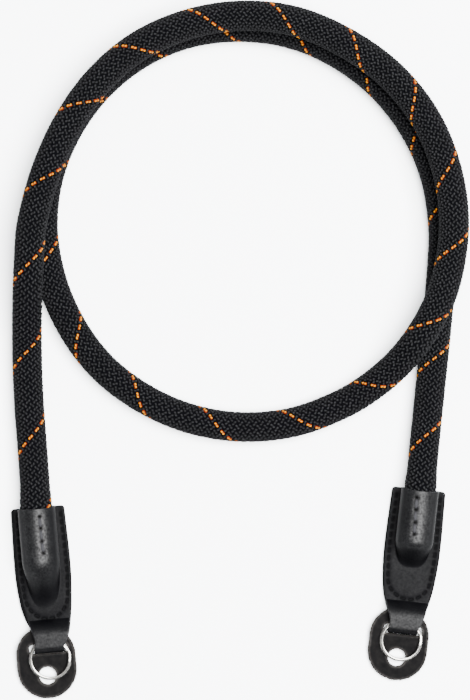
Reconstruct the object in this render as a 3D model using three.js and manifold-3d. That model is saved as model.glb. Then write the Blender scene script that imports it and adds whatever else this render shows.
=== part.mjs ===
// A coiled camera strap, lying flat as it is put away.
// One braided rope makes a turn and a half. Each of its ends is held in a moulded leather end,
// whose neck folds round a split ring and through a leather ring pad.
// Millimetres, +Z up, the surface it lies on at z = 0. X runs to the right and Y up the coil.
// The origin lies on the surface, midway between the two leather ends and their pads.

import * as THREE from 'three';
import { LoftGeometry } from 'three/addons/geometries/LoftGeometry.js';
import { mergeVertices } from 'three/addons/utils/BufferGeometryUtils.js';
import Module from 'manifold-3d';

const wasm = await Module();
wasm.setup();

// Sizes that several pieces share
const clearance = 0.3;
const ropeDiameter = 10.3;
const leatherThickness = 1.2;

// Leather end: a strip folded double, stitched along its edges, with the rope's end inside
const layerGap = 0.15;
const flangeWidth = 2.75;
const shoulderSwell = 0.45;
const backOverhang = 0.4;
const mouthCornerRadius = 1.2;
const domeFootRadius = 1.2;
const tailRounding = 0.96;
const bridgeRoom = 2;
const foldCornerRadius = 1.9;

// Split ring: one flat wire wound nearly twice round
const ringOuterDiameter = 15.1;
const ringWireWidth = 1.05;
const ringWireHeight = 0.72;
const ringCoilGap = 0.1;
const ringStepStart = 328;
const ringStepEnd = 358;

// Ring pad: a round-ended plate with a slot for the neck and a punched hole
const padThickness = 1.8;
const padRim = 3.55;
const bridgeWidth = 6.3;
const slotWidth = 3.4;
const slotEndRoom = 3.4;
const slotOffset = 1;
const neckSideRoom = 1.3;
const padHoleDiameter = 6.3;
const padHoleInset = 8.1;

// The two ends: where the mouth lies, how the end leans, and what differs between them
const ends = [
  {
    name: 'left',
    mouth: new THREE.Vector2(-67.3, 29.9),
    lean: 5.05,
    ropeInside: 18.5,
    domeTail: 17.5,
    flatLength: 4,
    frontInset: { left: 0.8, right: 0 },
    neckShift: 1.1,
    ringShift: 0,
    ringSplit: 20,
    padShift: -1.5,
    padTongue: 16.1,
  },
  {
    name: 'right',
    mouth: new THREE.Vector2(68.1, 36.3),
    lean: -6.5,
    ropeInside: 18,
    domeTail: 10,
    flatLength: 12,
    frontInset: { left: 0.1, right: 0.3 },
    neckShift: 0.4,
    ringShift: -0.42,
    ringSplit: 25,
    padShift: -1.2,
    padTongue: 16.5,
  },
];

// Half the leather end's outline from its mouth to its fold. All columns are shares:
// along of the reach to the fold, width from the neck's to the shoulder's half width,
// shift of the neck's own sideways shift, ring of the ring's,
// overhang of how far the back layer stands out beside the front one.
const endOutline = [
  { along: 0, width: 0.9, shift: 0, ring: 0, overhang: 1 },
  { along: 0.12, width: 0.94, shift: 0, ring: 0, overhang: 1 },
  { along: 0.29, width: 1, shift: 0, ring: 0, overhang: 1 },
  { along: 0.47, width: 1, shift: 0, ring: 0, overhang: 1 },
  { along: 0.6, width: 0.9, shift: 0, ring: 0, overhang: 1 },
  { along: 0.69, width: 0.78, shift: 0.1, ring: 0, overhang: 1 },
  { along: 0.76, width: 0.63, shift: 0.3, ring: 0, overhang: 0.8 },
  { along: 0.82, width: 0.45, shift: 0.65, ring: 0, overhang: 0.5 },
  { along: 0.87, width: 0.26, shift: 1, ring: 0, overhang: 0.2 },
  { along: 0.92, width: 0.1, shift: 0.9, ring: 0.3, overhang: 0 },
  { along: 0.96, width: 0.02, shift: 0.2, ring: 0.9, overhang: 0 },
  { along: 1, width: 0, shift: 0, ring: 1, overhang: 0 },
];

// The rope's route, as it was laid. lift is a share of the height at which it crosses itself.
// The left leg runs from the left mouth up to the coil, and climbs onto the lower turn.
const leftLeg = [
  { x: -67.9, y: 39.8, lift: 0.08 },
  { x: -68.7, y: 50.4, lift: 0.02 },
  { x: -69.9, y: 66.2, lift: 0 },
  { x: -70.5, y: 80, lift: 0.02 },
  { x: -70.6, y: 90, lift: 0.1 },
  { x: -70.4, y: 98.5, lift: 0.33 },
  { x: -70, y: 106.5, lift: 0.62 },
  { x: -69.5, y: 114.5, lift: 0.84 },
  { x: -69, y: 122.5, lift: 0.94 },
];

// The coil, by the clockwise angle from its left side and the radius about its centre.
// Its first half turn lies on top of the last one, which leads into the right leg.
const coilCentre = new THREE.Vector2(4.6, 129.4);
const coil = [
  { turn: 0, radius: 72.9, lift: 0.96 },
  { turn: 15, radius: 70.4, lift: 1 },
  { turn: 30, radius: 69.9, lift: 1 },
  { turn: 45, radius: 70.7, lift: 1 },
  { turn: 60, radius: 71.8, lift: 0.99 },
  { turn: 75, radius: 72.4, lift: 0.985 },
  { turn: 90, radius: 73.1, lift: 0.97 },
  { turn: 105, radius: 73.7, lift: 0.955 },
  { turn: 120, radius: 73.6, lift: 0.95 },
  { turn: 135, radius: 74.3, lift: 0.93 },
  { turn: 150, radius: 74.8, lift: 0.92 },
  { turn: 165, radius: 74.8, lift: 0.94 },
  { turn: 180, radius: 74.8, lift: 0.96 },
  { turn: 195, radius: 74.6, lift: 0.99 },
  { turn: 204, radius: 74.3, lift: 0.98 },
  { turn: 213, radius: 73.9, lift: 0.83 },
  { turn: 222, radius: 73.6, lift: 0.48 },
  { turn: 231, radius: 73, lift: 0.18 },
  { turn: 240, radius: 72.4, lift: 0.04 },
  { turn: 255, radius: 71.7, lift: 0.005 },
  { turn: 270, radius: 70.9, lift: 0 },
  { turn: 285, radius: 70.2, lift: 0 },
  { turn: 300, radius: 69.7, lift: 0 },
  { turn: 315, radius: 69.6, lift: 0 },
  { turn: 330, radius: 69.2, lift: 0 },
  { turn: 345, radius: 69.2, lift: 0 },
  { turn: 360, radius: 69.6, lift: 0 },
  { turn: 375, radius: 69.8, lift: 0 },
  { turn: 390, radius: 69.8, lift: 0 },
  { turn: 405, radius: 70.1, lift: 0 },
  { turn: 420, radius: 70.4, lift: 0 },
  { turn: 435, radius: 70.5, lift: 0 },
  { turn: 450, radius: 70.3, lift: 0 },
  { turn: 465, radius: 70.3, lift: 0 },
  { turn: 480, radius: 70.1, lift: 0 },
  { turn: 495, radius: 70.2, lift: 0 },
  { turn: 510, radius: 70.5, lift: 0 },
  { turn: 525, radius: 71.1, lift: 0 },
  { turn: 540, radius: 71.7, lift: 0 },
  { turn: 550, radius: 72.5, lift: 0 },
];

// The right leg runs from the coil down to the right mouth.
const rightLeg = [
  { x: 74.7, y: 101.2, lift: 0 },
  { x: 73.4, y: 87.4, lift: 0 },
  { x: 71.9, y: 73.3, lift: 0 },
  { x: 70.6, y: 60.9, lift: 0.01 },
  { x: 69.5, y: 50.3, lift: 0.06 },
];

// Sizes that follow from the ones above
const ropeRadius = ropeDiameter / 2;
const stackHeight = ropeDiameter + clearance;
const ringOuterRadius = ringOuterDiameter / 2;
const ringInnerRadius = ringOuterRadius - ringWireWidth;
const ringHeight = 2 * ringWireHeight + ringCoilGap;
const neckWidth = 2 * (ringInnerRadius - neckSideRoom);
const slotLength = neckWidth + slotEndRoom;
const padRadius = slotLength / 2 + padRim;
const backHeight = leatherThickness / 2;
const flangeHeight = leatherThickness * 1.5 + layerGap;
const bridgeBottom = leatherThickness + clearance;
const bridgeTop = bridgeBottom + padThickness;
const pocketHeight = leatherThickness + clearance + ropeRadius;
const domeRadius = ropeRadius + clearance + leatherThickness / 2;
const domeRise = pocketHeight + domeRadius - flangeHeight;
const domeReach = domeRadius + domeFootRadius;
const domeFoot = Math.sqrt(domeReach ** 2 - (domeRise - domeReach) ** 2);
const shoulderWidth = 2 * (domeFoot + flangeWidth + shoulderSwell);

// How finely the curved pieces are divided
const columnsAcross = 18;
const wireSides = 8;
const ringSteps = 48;
const ropeSides = 12;
const ropeSteps = 80;
const arcSegments = 9;

/** A value of a table's column at a place along it, on a smooth curve through the rows. */
function lookUp(table, column, along) {
  const last = table.length - 1;
  const share = THREE.MathUtils.clamp(along, table[0].along, table[last].along);
  const next = Math.max(1, table.findIndex((row) => row.along >= share));
  const slope = (row) => {
    const before = table[Math.max(row - 1, 0)];
    const after = table[Math.min(row + 1, last)];
    return (after[column] - before[column]) / (after.along - before.along);
  };
  const from = table[next - 1];
  const to = table[next];
  const span = to.along - from.along;
  const t = (share - from.along) / span;
  const eased = t * t * (3 - 2 * t);
  const lead = t * (1 - t) * (1 - t) * span * slope(next - 1);
  const trail = t * t * (1 - t) * span * slope(next);
  return from[column] * (1 - eased) + to[column] * eased + lead - trail;
}

/** The distances from the mouth, along one end's own axis, that its pieces are set out by. */
function layOut(end) {
  const domeEnd = end.ropeInside + end.domeTail;
  const stitchedLength = domeEnd + end.flatLength;
  const padTop = stitchedLength + bridgeRoom;
  const slotTop = padTop + bridgeWidth;
  const slotBottom = slotTop + slotWidth;
  const foldReach = slotBottom - clearance;
  const ringDrop = Math.sqrt(ringInnerRadius ** 2 - (neckWidth / 2) ** 2);
  const ringCentre = foldReach - leatherThickness - clearance + ringDrop;
  const ringTop = ringCentre - ringOuterRadius;
  const ringBottom = ringCentre + ringOuterRadius;
  const padBottom = slotBottom + end.padTongue;
  const slope = bridgeBottom / (ringBottom - slotTop);
  const ringLift = slope * (slotTop - ringTop);
  const neckHeight = bridgeTop + ringLift + ringHeight + 2 * clearance + leatherThickness / 2;
  return {
    domeEnd, stitchedLength, padTop, slotTop, slotBottom, foldReach, ringCentre, ringTop,
    ringBottom, padBottom, slope, neckHeight,
  };
}

/** The middle line of the folded strip in side view: x from the mouth, y above the surface. */
function stripSpine(sizes) {
  const riseStart = new THREE.Vector2(sizes.stitchedLength, flangeHeight);
  const riseEnd = new THREE.Vector2(sizes.ringTop, sizes.neckHeight);
  const wall = sizes.foldReach - leatherThickness / 2;
  const corner = wall - foldCornerRadius;
  const upper = sizes.neckHeight - foldCornerRadius;
  const lower = backHeight + foldCornerRadius;
  const firstPull = new THREE.Vector2(riseStart.x + bridgeRoom / 3, riseStart.y);
  const lastPull = new THREE.Vector2(sizes.padTop - clearance, riseEnd.y);
  const arc = (y, from, to) => new THREE.EllipseCurve(
    corner, y, foldCornerRadius, foldCornerRadius, from, to, true,
  );
  const line = (x0, y0, x1, y1) => new THREE.LineCurve(
    new THREE.Vector2(x0, y0), new THREE.Vector2(x1, y1),
  );
  const spine = new THREE.CurvePath();
  spine.add(line(0, flangeHeight, riseStart.x, riseStart.y));
  spine.add(new THREE.CubicBezierCurve(riseStart, firstPull, lastPull, riseEnd));
  spine.add(line(riseEnd.x, riseEnd.y, corner, riseEnd.y));
  spine.add(arc(upper, Math.PI / 2, 0));
  spine.add(line(wall, upper, wall, lower));
  spine.add(arc(lower, 0, -Math.PI / 2));
  spine.add(line(corner, backHeight, 0, backHeight));
  return spine;
}

/** The distances along the strip at which it is divided, from the front mouth to the back one. */
function stripStations(end, sizes, spine) {
  const reach = spine.getCurveLengths();
  const total = spine.getLength();
  const backCorner = total - mouthCornerRadius;
  const spans = [
    { to: mouthCornerRadius / 4, steps: 1 },
    { to: mouthCornerRadius, steps: 1 },
    { to: end.ropeInside, steps: 4 },
    { to: sizes.domeEnd, steps: 8 },
    { to: reach[0], steps: Math.max(1, Math.round(end.flatLength / 3)) },
    { to: reach[1], steps: 8 },
    { to: reach[2], steps: 1 },
    { to: reach[3], steps: 4 },
    { to: reach[4], steps: 1 },
    { to: reach[5], steps: 4 },
    { to: total - sizes.padTop, steps: 2 },
    { to: total - sizes.stitchedLength, steps: 2 },
    { to: backCorner, steps: 7 },
    { to: total - mouthCornerRadius / 4, steps: 1 },
    { to: total, steps: 1 },
  ];
  const stations = [0];
  for (const span of spans) {
    const from = stations[stations.length - 1];
    for (let step = 1; step <= span.steps; step += 1) {
      stations.push(from + (span.to - from) * step / span.steps);
    }
  }
  return stations;
}

/** The strip's width from its middle to one side, on the front or the back layer. */
function sideWidth(end, sizes, fromMouth, back, side) {
  const along = fromMouth / sizes.foldReach;
  const spread = (shoulderWidth - neckWidth) / 2;
  const standout = back ? backOverhang : -end.frontInset[side];
  const shortfall = Math.max(0, mouthCornerRadius - fromMouth);
  const corner = mouthCornerRadius - Math.sqrt(mouthCornerRadius ** 2 - shortfall ** 2);
  const width = neckWidth / 2 + spread * lookUp(endOutline, 'width', along);
  return width + standout * lookUp(endOutline, 'overhang', along) - corner;
}

/** The dome over the rope at a distance from the mouth: how high it rises, how wide it stands. */
function domeAt(end, fromMouth) {
  const tail = THREE.MathUtils.clamp((fromMouth - end.ropeInside) / end.domeTail, 0, 1);
  return {
    rise: domeRise * (1 - THREE.MathUtils.smoothstep(tail, 0, 1)),
    foot: domeFoot * Math.sqrt(1 - tailRounding * tail ** 3),
  };
}

/** A point across a layer: flat leather, a hollow foot, then the dome that the rope raises. */
function acrossSection({ rise, foot }, half, across) {
  if (rise < layerGap / 10) {
    return new THREE.Vector2(across * half, 0);
  }
  const radius = (foot ** 2 + rise ** 2) / (2 * rise) - domeFootRadius;
  const turn = Math.PI / 2 + Math.atan2(rise - radius - domeFootRadius, foot);
  const domeLength = radius * turn;
  const footLength = domeFootRadius * turn;
  const total = domeLength + footLength + half - foot;
  const distance = Math.abs(across) * total;
  const point = new THREE.Vector2();
  if (distance < domeLength) {
    const angle = distance / radius;
    point.set(radius * Math.sin(angle), rise - radius * (1 - Math.cos(angle)));
  } else if (distance < domeLength + footLength) {
    const angle = turn - (distance - domeLength) / domeFootRadius;
    point.set(foot - domeFootRadius * Math.sin(angle), domeFootRadius * (1 - Math.cos(angle)));
  } else {
    point.set(foot + distance - domeLength - footLength, 0);
  }
  point.x *= Math.sign(across);
  return point;
}

/** A point of the strip's middle surface, by its distance along the strip and across it. */
function stripPoint(strip, distance, across) {
  const { end, sizes, spine, length } = strip;
  const at = spine.getPoint(distance / length);
  const back = distance > length / 2;
  const dome = domeAt(end, back ? sizes.foldReach : at.x);
  const width = sideWidth(end, sizes, at.x, back, across < 0 ? 'left' : 'right');
  const section = acrossSection(dome, width, across);
  const along = at.x / sizes.foldReach;
  const neckShift = end.neckShift * lookUp(endOutline, 'shift', along);
  const ringShift = end.ringShift * lookUp(endOutline, 'ring', along);
  return new THREE.Vector3(section.x + neckShift + ringShift, -at.x, at.y + section.y);
}

/** The direction out of the strip's outer face at a point. */
function stripNormal(strip, distance, across) {
  const step = 0.01;
  const before = Math.max(0, distance - step);
  const after = Math.min(strip.length, distance + step);
  const left = Math.max(-1, across - step);
  const right = Math.min(1, across + step);
  const along = stripPoint(strip, after, across).sub(stripPoint(strip, before, across));
  const sideways = stripPoint(strip, distance, right).sub(stripPoint(strip, distance, left));
  return along.cross(sideways).normalize();
}

/** One leather strip with a dome over the rope, folded back under itself at its neck. */
function makeLeatherEnd(end, sizes) {
  const spine = stripSpine(sizes);
  const strip = { end, sizes, spine, length: spine.getLength() };
  const sectionAt = (distance, thickness) => {
    const outer = [];
    const inner = [];
    for (let column = 0; column <= columnsAcross; column += 1) {
      const across = 1 - 2 * column / columnsAcross;
      const middle = stripPoint(strip, distance, across);
      const half = stripNormal(strip, distance, across).multiplyScalar(thickness / 2);
      outer.push(middle.clone().add(half));
      inner.unshift(middle.clone().sub(half));
    }
    return [...outer, ...inner];
  };
  const stations = stripStations(end, sizes, spine);
  const sections = stations.map((distance) => sectionAt(distance, leatherThickness));
  const startEdge = sectionAt(0, 0);
  const endEdge = sectionAt(strip.length, 0);
  return new LoftGeometry([startEdge, ...sections, endEdge]);
}

/** The line of a split ring's wire: once round on top, a step down, and once round below. */
class SplitRingCurve extends THREE.Curve {
  getPoint(share, target = new THREE.Vector3()) {
    const degrees = share * (360 + ringStepStart);
    const angle = THREE.MathUtils.degToRad(degrees);
    const radius = ringOuterRadius - ringWireWidth / 2;
    const step = THREE.MathUtils.smoothstep(degrees, ringStepStart, ringStepEnd);
    const height = (ringWireHeight + ringCoilGap) * (0.5 - step);
    return target.set(radius * Math.cos(angle), radius * Math.sin(angle), height);
  }
}

/** A flat section with rounded corners, for the ring's wire. */
function wireSection() {
  const section = new THREE.Shape();
  for (let side = 0; side < wireSides; side += 1) {
    const angle = (side + 0.5) * 2 * Math.PI / wireSides;
    const corner = Math.cos(Math.PI / wireSides);
    const x = Math.cos(angle) / corner * ringWireHeight / 2;
    const y = Math.sin(angle) / corner * ringWireWidth / 2;
    if (side === 0) {
      section.moveTo(x, y);
    } else {
      section.lineTo(x, y);
    }
  }
  section.closePath();
  return section;
}

/** The split ring, lying on the pad and parallel to its slope. */
function makeSplitRing(end, sizes) {
  const geometry = new THREE.ExtrudeGeometry(wireSection(), {
    steps: ringSteps,
    extrudePath: new SplitRingCurve(),
  });
  const rest = bridgeTop + clearance - sizes.slope * (sizes.ringCentre - sizes.slotTop);
  geometry.rotateZ(THREE.MathUtils.degToRad(end.ringSplit));
  geometry.rotateX(Math.atan(sizes.slope));
  geometry.translate(end.ringShift, -sizes.ringCentre, rest + ringHeight / 2);
  return geometry;
}

/** A closed geometry as a solid that can be joined or cut. */
function asSolid(geometry) {
  const plain = geometry.clone();
  plain.deleteAttribute('normal');
  plain.deleteAttribute('uv');
  const merged = mergeVertices(plain, 1e-4);
  return new wasm.Manifold(new wasm.Mesh({
    numProp: 3,
    vertProperties: new Float32Array(merged.attributes.position.array),
    triVerts: new Uint32Array(merged.index.array),
  }));
}

/** A solid as a geometry again. */
function asGeometry(solid) {
  const mesh = solid.getMesh();
  const geometry = new THREE.BufferGeometry();
  geometry.setAttribute('position', new THREE.BufferAttribute(mesh.vertProperties, 3));
  geometry.setIndex(new THREE.BufferAttribute(mesh.triVerts, 1));
  geometry.computeVertexNormals();
  return geometry;
}

/** An upright round-ended outline: two half circles of one radius, joined by straight sides. */
function traceRoundEnded(path, x, high, low, radius) {
  path.absarc(x, high - radius, radius, 0, Math.PI, false);
  path.absarc(x, low + radius, radius, Math.PI, 2 * Math.PI, false);
  path.closePath();
  return path;
}

/** The ring pad seen from above: its outline, the neck's slot and the punched hole. */
function padPlan(end, sizes) {
  const x = end.padShift;
  const plan = traceRoundEnded(
    new THREE.Shape(), x, -sizes.padTop, -sizes.padBottom, padRadius,
  );
  const slotY = -(sizes.slotTop + sizes.slotBottom) / 2;
  const slotHalf = slotLength / 2 - slotWidth / 2;
  const slot = new THREE.Path();
  const slotX = x + slotOffset;
  slot.absarc(slotX + slotHalf, slotY, slotWidth / 2, -Math.PI / 2, Math.PI / 2, false);
  slot.absarc(slotX - slotHalf, slotY, slotWidth / 2, Math.PI / 2, 3 * Math.PI / 2, false);
  slot.closePath();
  const hole = new THREE.Path();
  hole.absarc(x, padHoleInset - sizes.padBottom, padHoleDiameter / 2, 0, 2 * Math.PI, false);
  plan.holes.push(slot, hole);
  return plan;
}

/** The pad in side view: level under the neck, sloping down past the slot, flat at its end. */
function padProfile(sizes) {
  const { padTop, slotTop, ringBottom, padBottom } = sizes;
  const profile = new THREE.Shape();
  profile.moveTo(padTop - clearance, bridgeBottom);
  profile.lineTo(slotTop, bridgeBottom);
  profile.lineTo(ringBottom, 0);
  profile.lineTo(padBottom + clearance, 0);
  profile.lineTo(padBottom + clearance, padThickness);
  profile.lineTo(ringBottom, padThickness);
  profile.lineTo(slotTop, bridgeTop);
  profile.lineTo(padTop - clearance, bridgeTop);
  profile.closePath();
  return profile;
}

/** The ring pad: its plan, given the bend and thickness of its side view. */
function makeRingPad(end, sizes) {
  const plan = new THREE.ExtrudeGeometry(padPlan(end, sizes), {
    depth: bridgeTop + padThickness,
    bevelEnabled: false,
    curveSegments: arcSegments,
  });
  plan.translate(0, 0, -padThickness / 2);
  const side = new THREE.ExtrudeGeometry(padProfile(sizes), {
    depth: 4 * padRadius,
    bevelEnabled: false,
  });
  side.translate(0, 0, -2 * padRadius);
  side.rotateX(Math.PI / 2);
  side.rotateZ(-Math.PI / 2);
  return asGeometry(asSolid(plan).intersect(asSolid(side)));
}

/** A point inside or at the mouth of an end's pocket, in the whole strap's frame. */
function pocketPoint(end, fromMouth) {
  const lean = THREE.MathUtils.degToRad(end.lean);
  return new THREE.Vector3(
    end.mouth.x + fromMouth * Math.sin(lean),
    end.mouth.y - fromMouth * Math.cos(lean),
    pocketHeight,
  );
}

/** A point of the rope's middle line, at a share of the crossing height above the surface. */
function ropePoint(x, y, lift) {
  return new THREE.Vector3(x, y, ropeRadius + lift * stackHeight);
}

/** The rope's middle line, from inside the left pocket to inside the right one. */
function ropeRoute() {
  const [left, right] = ends;
  const coilPoints = coil.map(({ turn, radius, lift }) => {
    const angle = Math.PI - THREE.MathUtils.degToRad(turn);
    const x = coilCentre.x + radius * Math.cos(angle);
    const y = coilCentre.y + radius * Math.sin(angle);
    return ropePoint(x, y, lift);
  });
  return new THREE.CatmullRomCurve3([
    pocketPoint(left, left.ropeInside - clearance),
    pocketPoint(left, left.ropeInside / 2),
    pocketPoint(left, 0),
    ...leftLeg.map(({ x, y, lift }) => ropePoint(x, y, lift)),
    ...coilPoints,
    ...rightLeg.map(({ x, y, lift }) => ropePoint(x, y, lift)),
    pocketPoint(right, 0),
    pocketPoint(right, right.ropeInside / 2),
    pocketPoint(right, right.ropeInside - clearance),
  ], false, 'centripetal');
}

/** The rope as one round tube along its route. */
function makeRope() {
  const section = new THREE.Shape();
  section.absarc(0, 0, ropeRadius, 0, 2 * Math.PI, false);
  return new THREE.ExtrudeGeometry(section, {
    steps: ropeSteps,
    curveSegments: ropeSides / 2,
    extrudePath: ropeRoute(),
  });
}

const finishes = {
  braid: new THREE.MeshStandardMaterial({ color: 0x17181a, roughness: 0.85, metalness: 0 }),
  leather: new THREE.MeshStandardMaterial({ color: 0x121314, roughness: 0.42, metalness: 0 }),
  suede: new THREE.MeshStandardMaterial({ color: 0x1b1a1b, roughness: 0.9, metalness: 0 }),
  steel: new THREE.MeshStandardMaterial({ color: 0xb9b6ae, roughness: 0.25, metalness: 1 }),
};

/** A named piece. */
function piece(name, geometry, material) {
  const mesh = new THREE.Mesh(geometry, material);
  mesh.name = name;
  return mesh;
}

/** One end of the strap with its ring and pad, set at its mouth and leaning as it lies. */
function assembleEnd(end) {
  const sizes = layOut(end);
  const group = new THREE.Group();
  group.add(piece(`${end.name}_leather_end`, makeLeatherEnd(end, sizes), finishes.leather));
  group.add(piece(`${end.name}_split_ring`, makeSplitRing(end, sizes), finishes.steel));
  group.add(piece(`${end.name}_ring_pad`, makeRingPad(end, sizes), finishes.suede));
  group.position.set(end.mouth.x, end.mouth.y, 0);
  group.rotation.z = THREE.MathUtils.degToRad(end.lean);
  return group;
}

const strap = new THREE.Group();
strap.add(piece('rope', makeRope(), finishes.braid));
for (const end of ends) {
  strap.add(assembleEnd(end));
}

export default strap;
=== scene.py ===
"""A coiled rope camera strap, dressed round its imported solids.

Lengths are in metres unless a name ends in _mm. z is up from the surface that the strap lies
on, x runs to the right, and y from the leather ends towards the coil of rope.
An end's own frame has u across it, v from its mouth towards its ring, and w up.
"""

import logging
import math
from dataclasses import dataclass
from enum import Enum
from typing import Any, Optional

import bpy
import numpy as np
from mathutils.geometry import delaunay_2d_cdt
from numpy.typing import NDArray
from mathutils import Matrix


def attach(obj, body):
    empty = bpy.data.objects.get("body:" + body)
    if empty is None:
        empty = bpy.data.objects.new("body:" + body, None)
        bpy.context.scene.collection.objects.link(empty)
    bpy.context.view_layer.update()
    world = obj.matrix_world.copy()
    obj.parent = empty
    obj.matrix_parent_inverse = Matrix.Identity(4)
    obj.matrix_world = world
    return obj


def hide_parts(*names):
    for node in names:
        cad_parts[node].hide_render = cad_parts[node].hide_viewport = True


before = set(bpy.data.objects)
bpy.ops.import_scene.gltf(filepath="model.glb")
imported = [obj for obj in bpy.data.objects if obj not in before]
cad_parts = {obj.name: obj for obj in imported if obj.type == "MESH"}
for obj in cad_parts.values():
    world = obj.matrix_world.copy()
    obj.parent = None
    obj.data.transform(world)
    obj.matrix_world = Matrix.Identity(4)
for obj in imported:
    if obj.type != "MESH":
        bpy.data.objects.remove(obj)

Array = NDArray[np.float64]

MM = 0.001

log = logging.getLogger("strap")


# Meshes


@dataclass
class Skin:
    """The points and faces of a mesh that is being made.

    Args:
        points: one row of x, y, z per point.
        quads: one row of four point numbers per face.
        triangles: one row of three point numbers per face.
        uv: one row of two pattern coordinates per point.
        marks: named numbers, one per point, that the finish reads.
    """

    points: Array
    quads: NDArray[np.int64]
    triangles: NDArray[np.int64]
    uv: Array
    marks: dict[str, Array]

    def to_object(self, name: str, material: bpy.types.Material) -> bpy.types.Object:
        """Puts the skin into a Blender mesh, smooth all over.

        Args:
            name: the piece's name.
            material: the finish it wears.

        Returns:
            The new object, at the origin.
        """
        mesh = bpy.data.meshes.new(name)
        loops = np.concatenate([self.quads.ravel(), self.triangles.ravel()])
        starts = np.concatenate([
            np.arange(len(self.quads)) * 4,
            len(self.quads) * 4 + np.arange(len(self.triangles)) * 3,
        ])
        mesh.vertices.add(len(self.points))
        mesh.vertices.foreach_set("co", self.points.astype(np.float32).ravel())
        mesh.loops.add(len(loops))
        mesh.loops.foreach_set("vertex_index", loops.astype(np.int32))
        mesh.polygons.add(len(starts))
        mesh.polygons.foreach_set("loop_start", starts.astype(np.int32))
        mesh.polygons.foreach_set("use_smooth", np.ones(len(starts), bool))
        mesh.update(calc_edges=True)
        layer = mesh.uv_layers.new(name="pattern")
        layer.data.foreach_set("uv", self.uv[loops].astype(np.float32).ravel())
        for mark, values in self.marks.items():
            attribute = mesh.attributes.new(mark, "FLOAT", "POINT")
            attribute.data.foreach_set("value", values.astype(np.float32))
        mesh.validate()
        mesh.materials.append(material)
        made = bpy.data.objects.new(name, mesh)
        bpy.context.scene.collection.objects.link(made)
        return made


def no_triangles() -> NDArray[np.int64]:
    """An empty list of triangles."""
    return np.zeros((0, 3), np.int64)


def grid_quads(
    numbers: NDArray[np.int64], wrap_rows: bool = False, wrap_columns: bool = False
) -> NDArray[np.int64]:
    """Joins a grid of points into quads, each point with its right and lower neighbours.

    Args:
        numbers: the points' numbers, as a grid of rows and columns.
        wrap_rows: whether the last row joins the first.
        wrap_columns: whether the last column joins the first.

    Returns:
        One row of four point numbers per quad.
    """
    if wrap_rows:
        numbers = np.concatenate([numbers, numbers[:1]], axis=0)
    if wrap_columns:
        numbers = np.concatenate([numbers, numbers[:, :1]], axis=1)
    corners = (numbers[:-1, :-1], numbers[1:, :-1], numbers[1:, 1:], numbers[:-1, 1:])
    return np.stack(corners, axis=-1).reshape(-1, 4)


def tube_skin(rings: Array, uv: Array, marks: Optional[dict[str, Array]] = None) -> Skin:
    """A tube through rings of points, with a pole at the middle of each end.

    Args:
        rings: points as (ring, place round it, xyz), running so that faces point out.
        uv: pattern coordinates as (ring, place round it, 2).
        marks: named numbers, as (ring, place round it).

    Returns:
        The closed skin.
    """
    rows, columns = rings.shape[:2]
    numbers = np.arange(rows * columns).reshape(rows, columns)
    first, last = rows * columns, rows * columns + 1
    ahead = np.roll(numbers, -1, axis=1)
    start = np.stack([np.full(columns, first), numbers[0], ahead[0]], axis=1)
    end = np.stack([np.full(columns, last), ahead[-1], numbers[-1]], axis=1)
    poles = np.stack([rings[0].mean(axis=0), rings[-1].mean(axis=0)])
    pole_uv = np.stack([uv[0].mean(axis=0), uv[-1].mean(axis=0)])
    every = {
        name: np.concatenate([m.ravel(), [m[0].mean(), m[-1].mean()]])
        for name, m in (marks or {}).items()
    }
    return Skin(
        np.concatenate([rings.reshape(-1, 3), poles]),
        grid_quads(numbers, wrap_columns=True),
        np.concatenate([start, end]),
        np.concatenate([uv.reshape(-1, 2), pole_uv]),
        every,
    )


def patches_skin(points: Array, uv: Array, marks: dict[str, Array]) -> Skin:
    """Many small patches of one size, each a grid of points.

    Args:
        points: the patches' points, as (patch, row, column, xyz).
        uv: pattern coordinates, as (patch, row, column, 2).
        marks: named numbers, as (patch, row, column).

    Returns:
        The skin that holds them all.
    """
    count, rows, columns = points.shape[:3]
    numbers = np.arange(rows * columns).reshape(rows, columns)
    one = grid_quads(numbers)
    quads = (one[None] + (np.arange(count) * rows * columns)[:, None, None]).reshape(-1, 4)
    return Skin(
        points.reshape(-1, 3),
        quads,
        no_triangles(),
        uv.reshape(-1, 2),
        {name: m.ravel() for name, m in marks.items()},
    )


def smooth_step(value: Array, low: float, high: float) -> Array:
    """Rises from 0 at low to 1 at high, level at both: 3t squared less 2t cubed."""
    t = np.clip((value - low) / (high - low), 0.0, 1.0)
    return t * t * (3.0 - 2.0 * t)


def unit(vectors: Array) -> Array:
    """The vectors at length 1."""
    return vectors / np.linalg.norm(vectors, axis=-1, keepdims=True)


def lengths_along(line: Array) -> Array:
    """The length of a line from its first point to each of its points."""
    steps = np.linalg.norm(np.diff(line, axis=0), axis=1)
    return np.concatenate([[0.0], np.cumsum(steps)])


def follow(at: Array, reach: Array, line: Array) -> Array:
    """A line's values at lengths along it, where reach holds its own points' lengths."""
    return np.stack([np.interp(at, reach, column) for column in line.T], axis=-1)


def turned(x: Array, y: Array, angle: Any) -> tuple[Array, Array]:
    """Two coordinates turned by an angle in radians, from x towards y."""
    cosine, sine = np.cos(angle), np.sin(angle)
    return x * cosine - y * sine, x * sine + y * cosine


# Shaders


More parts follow.
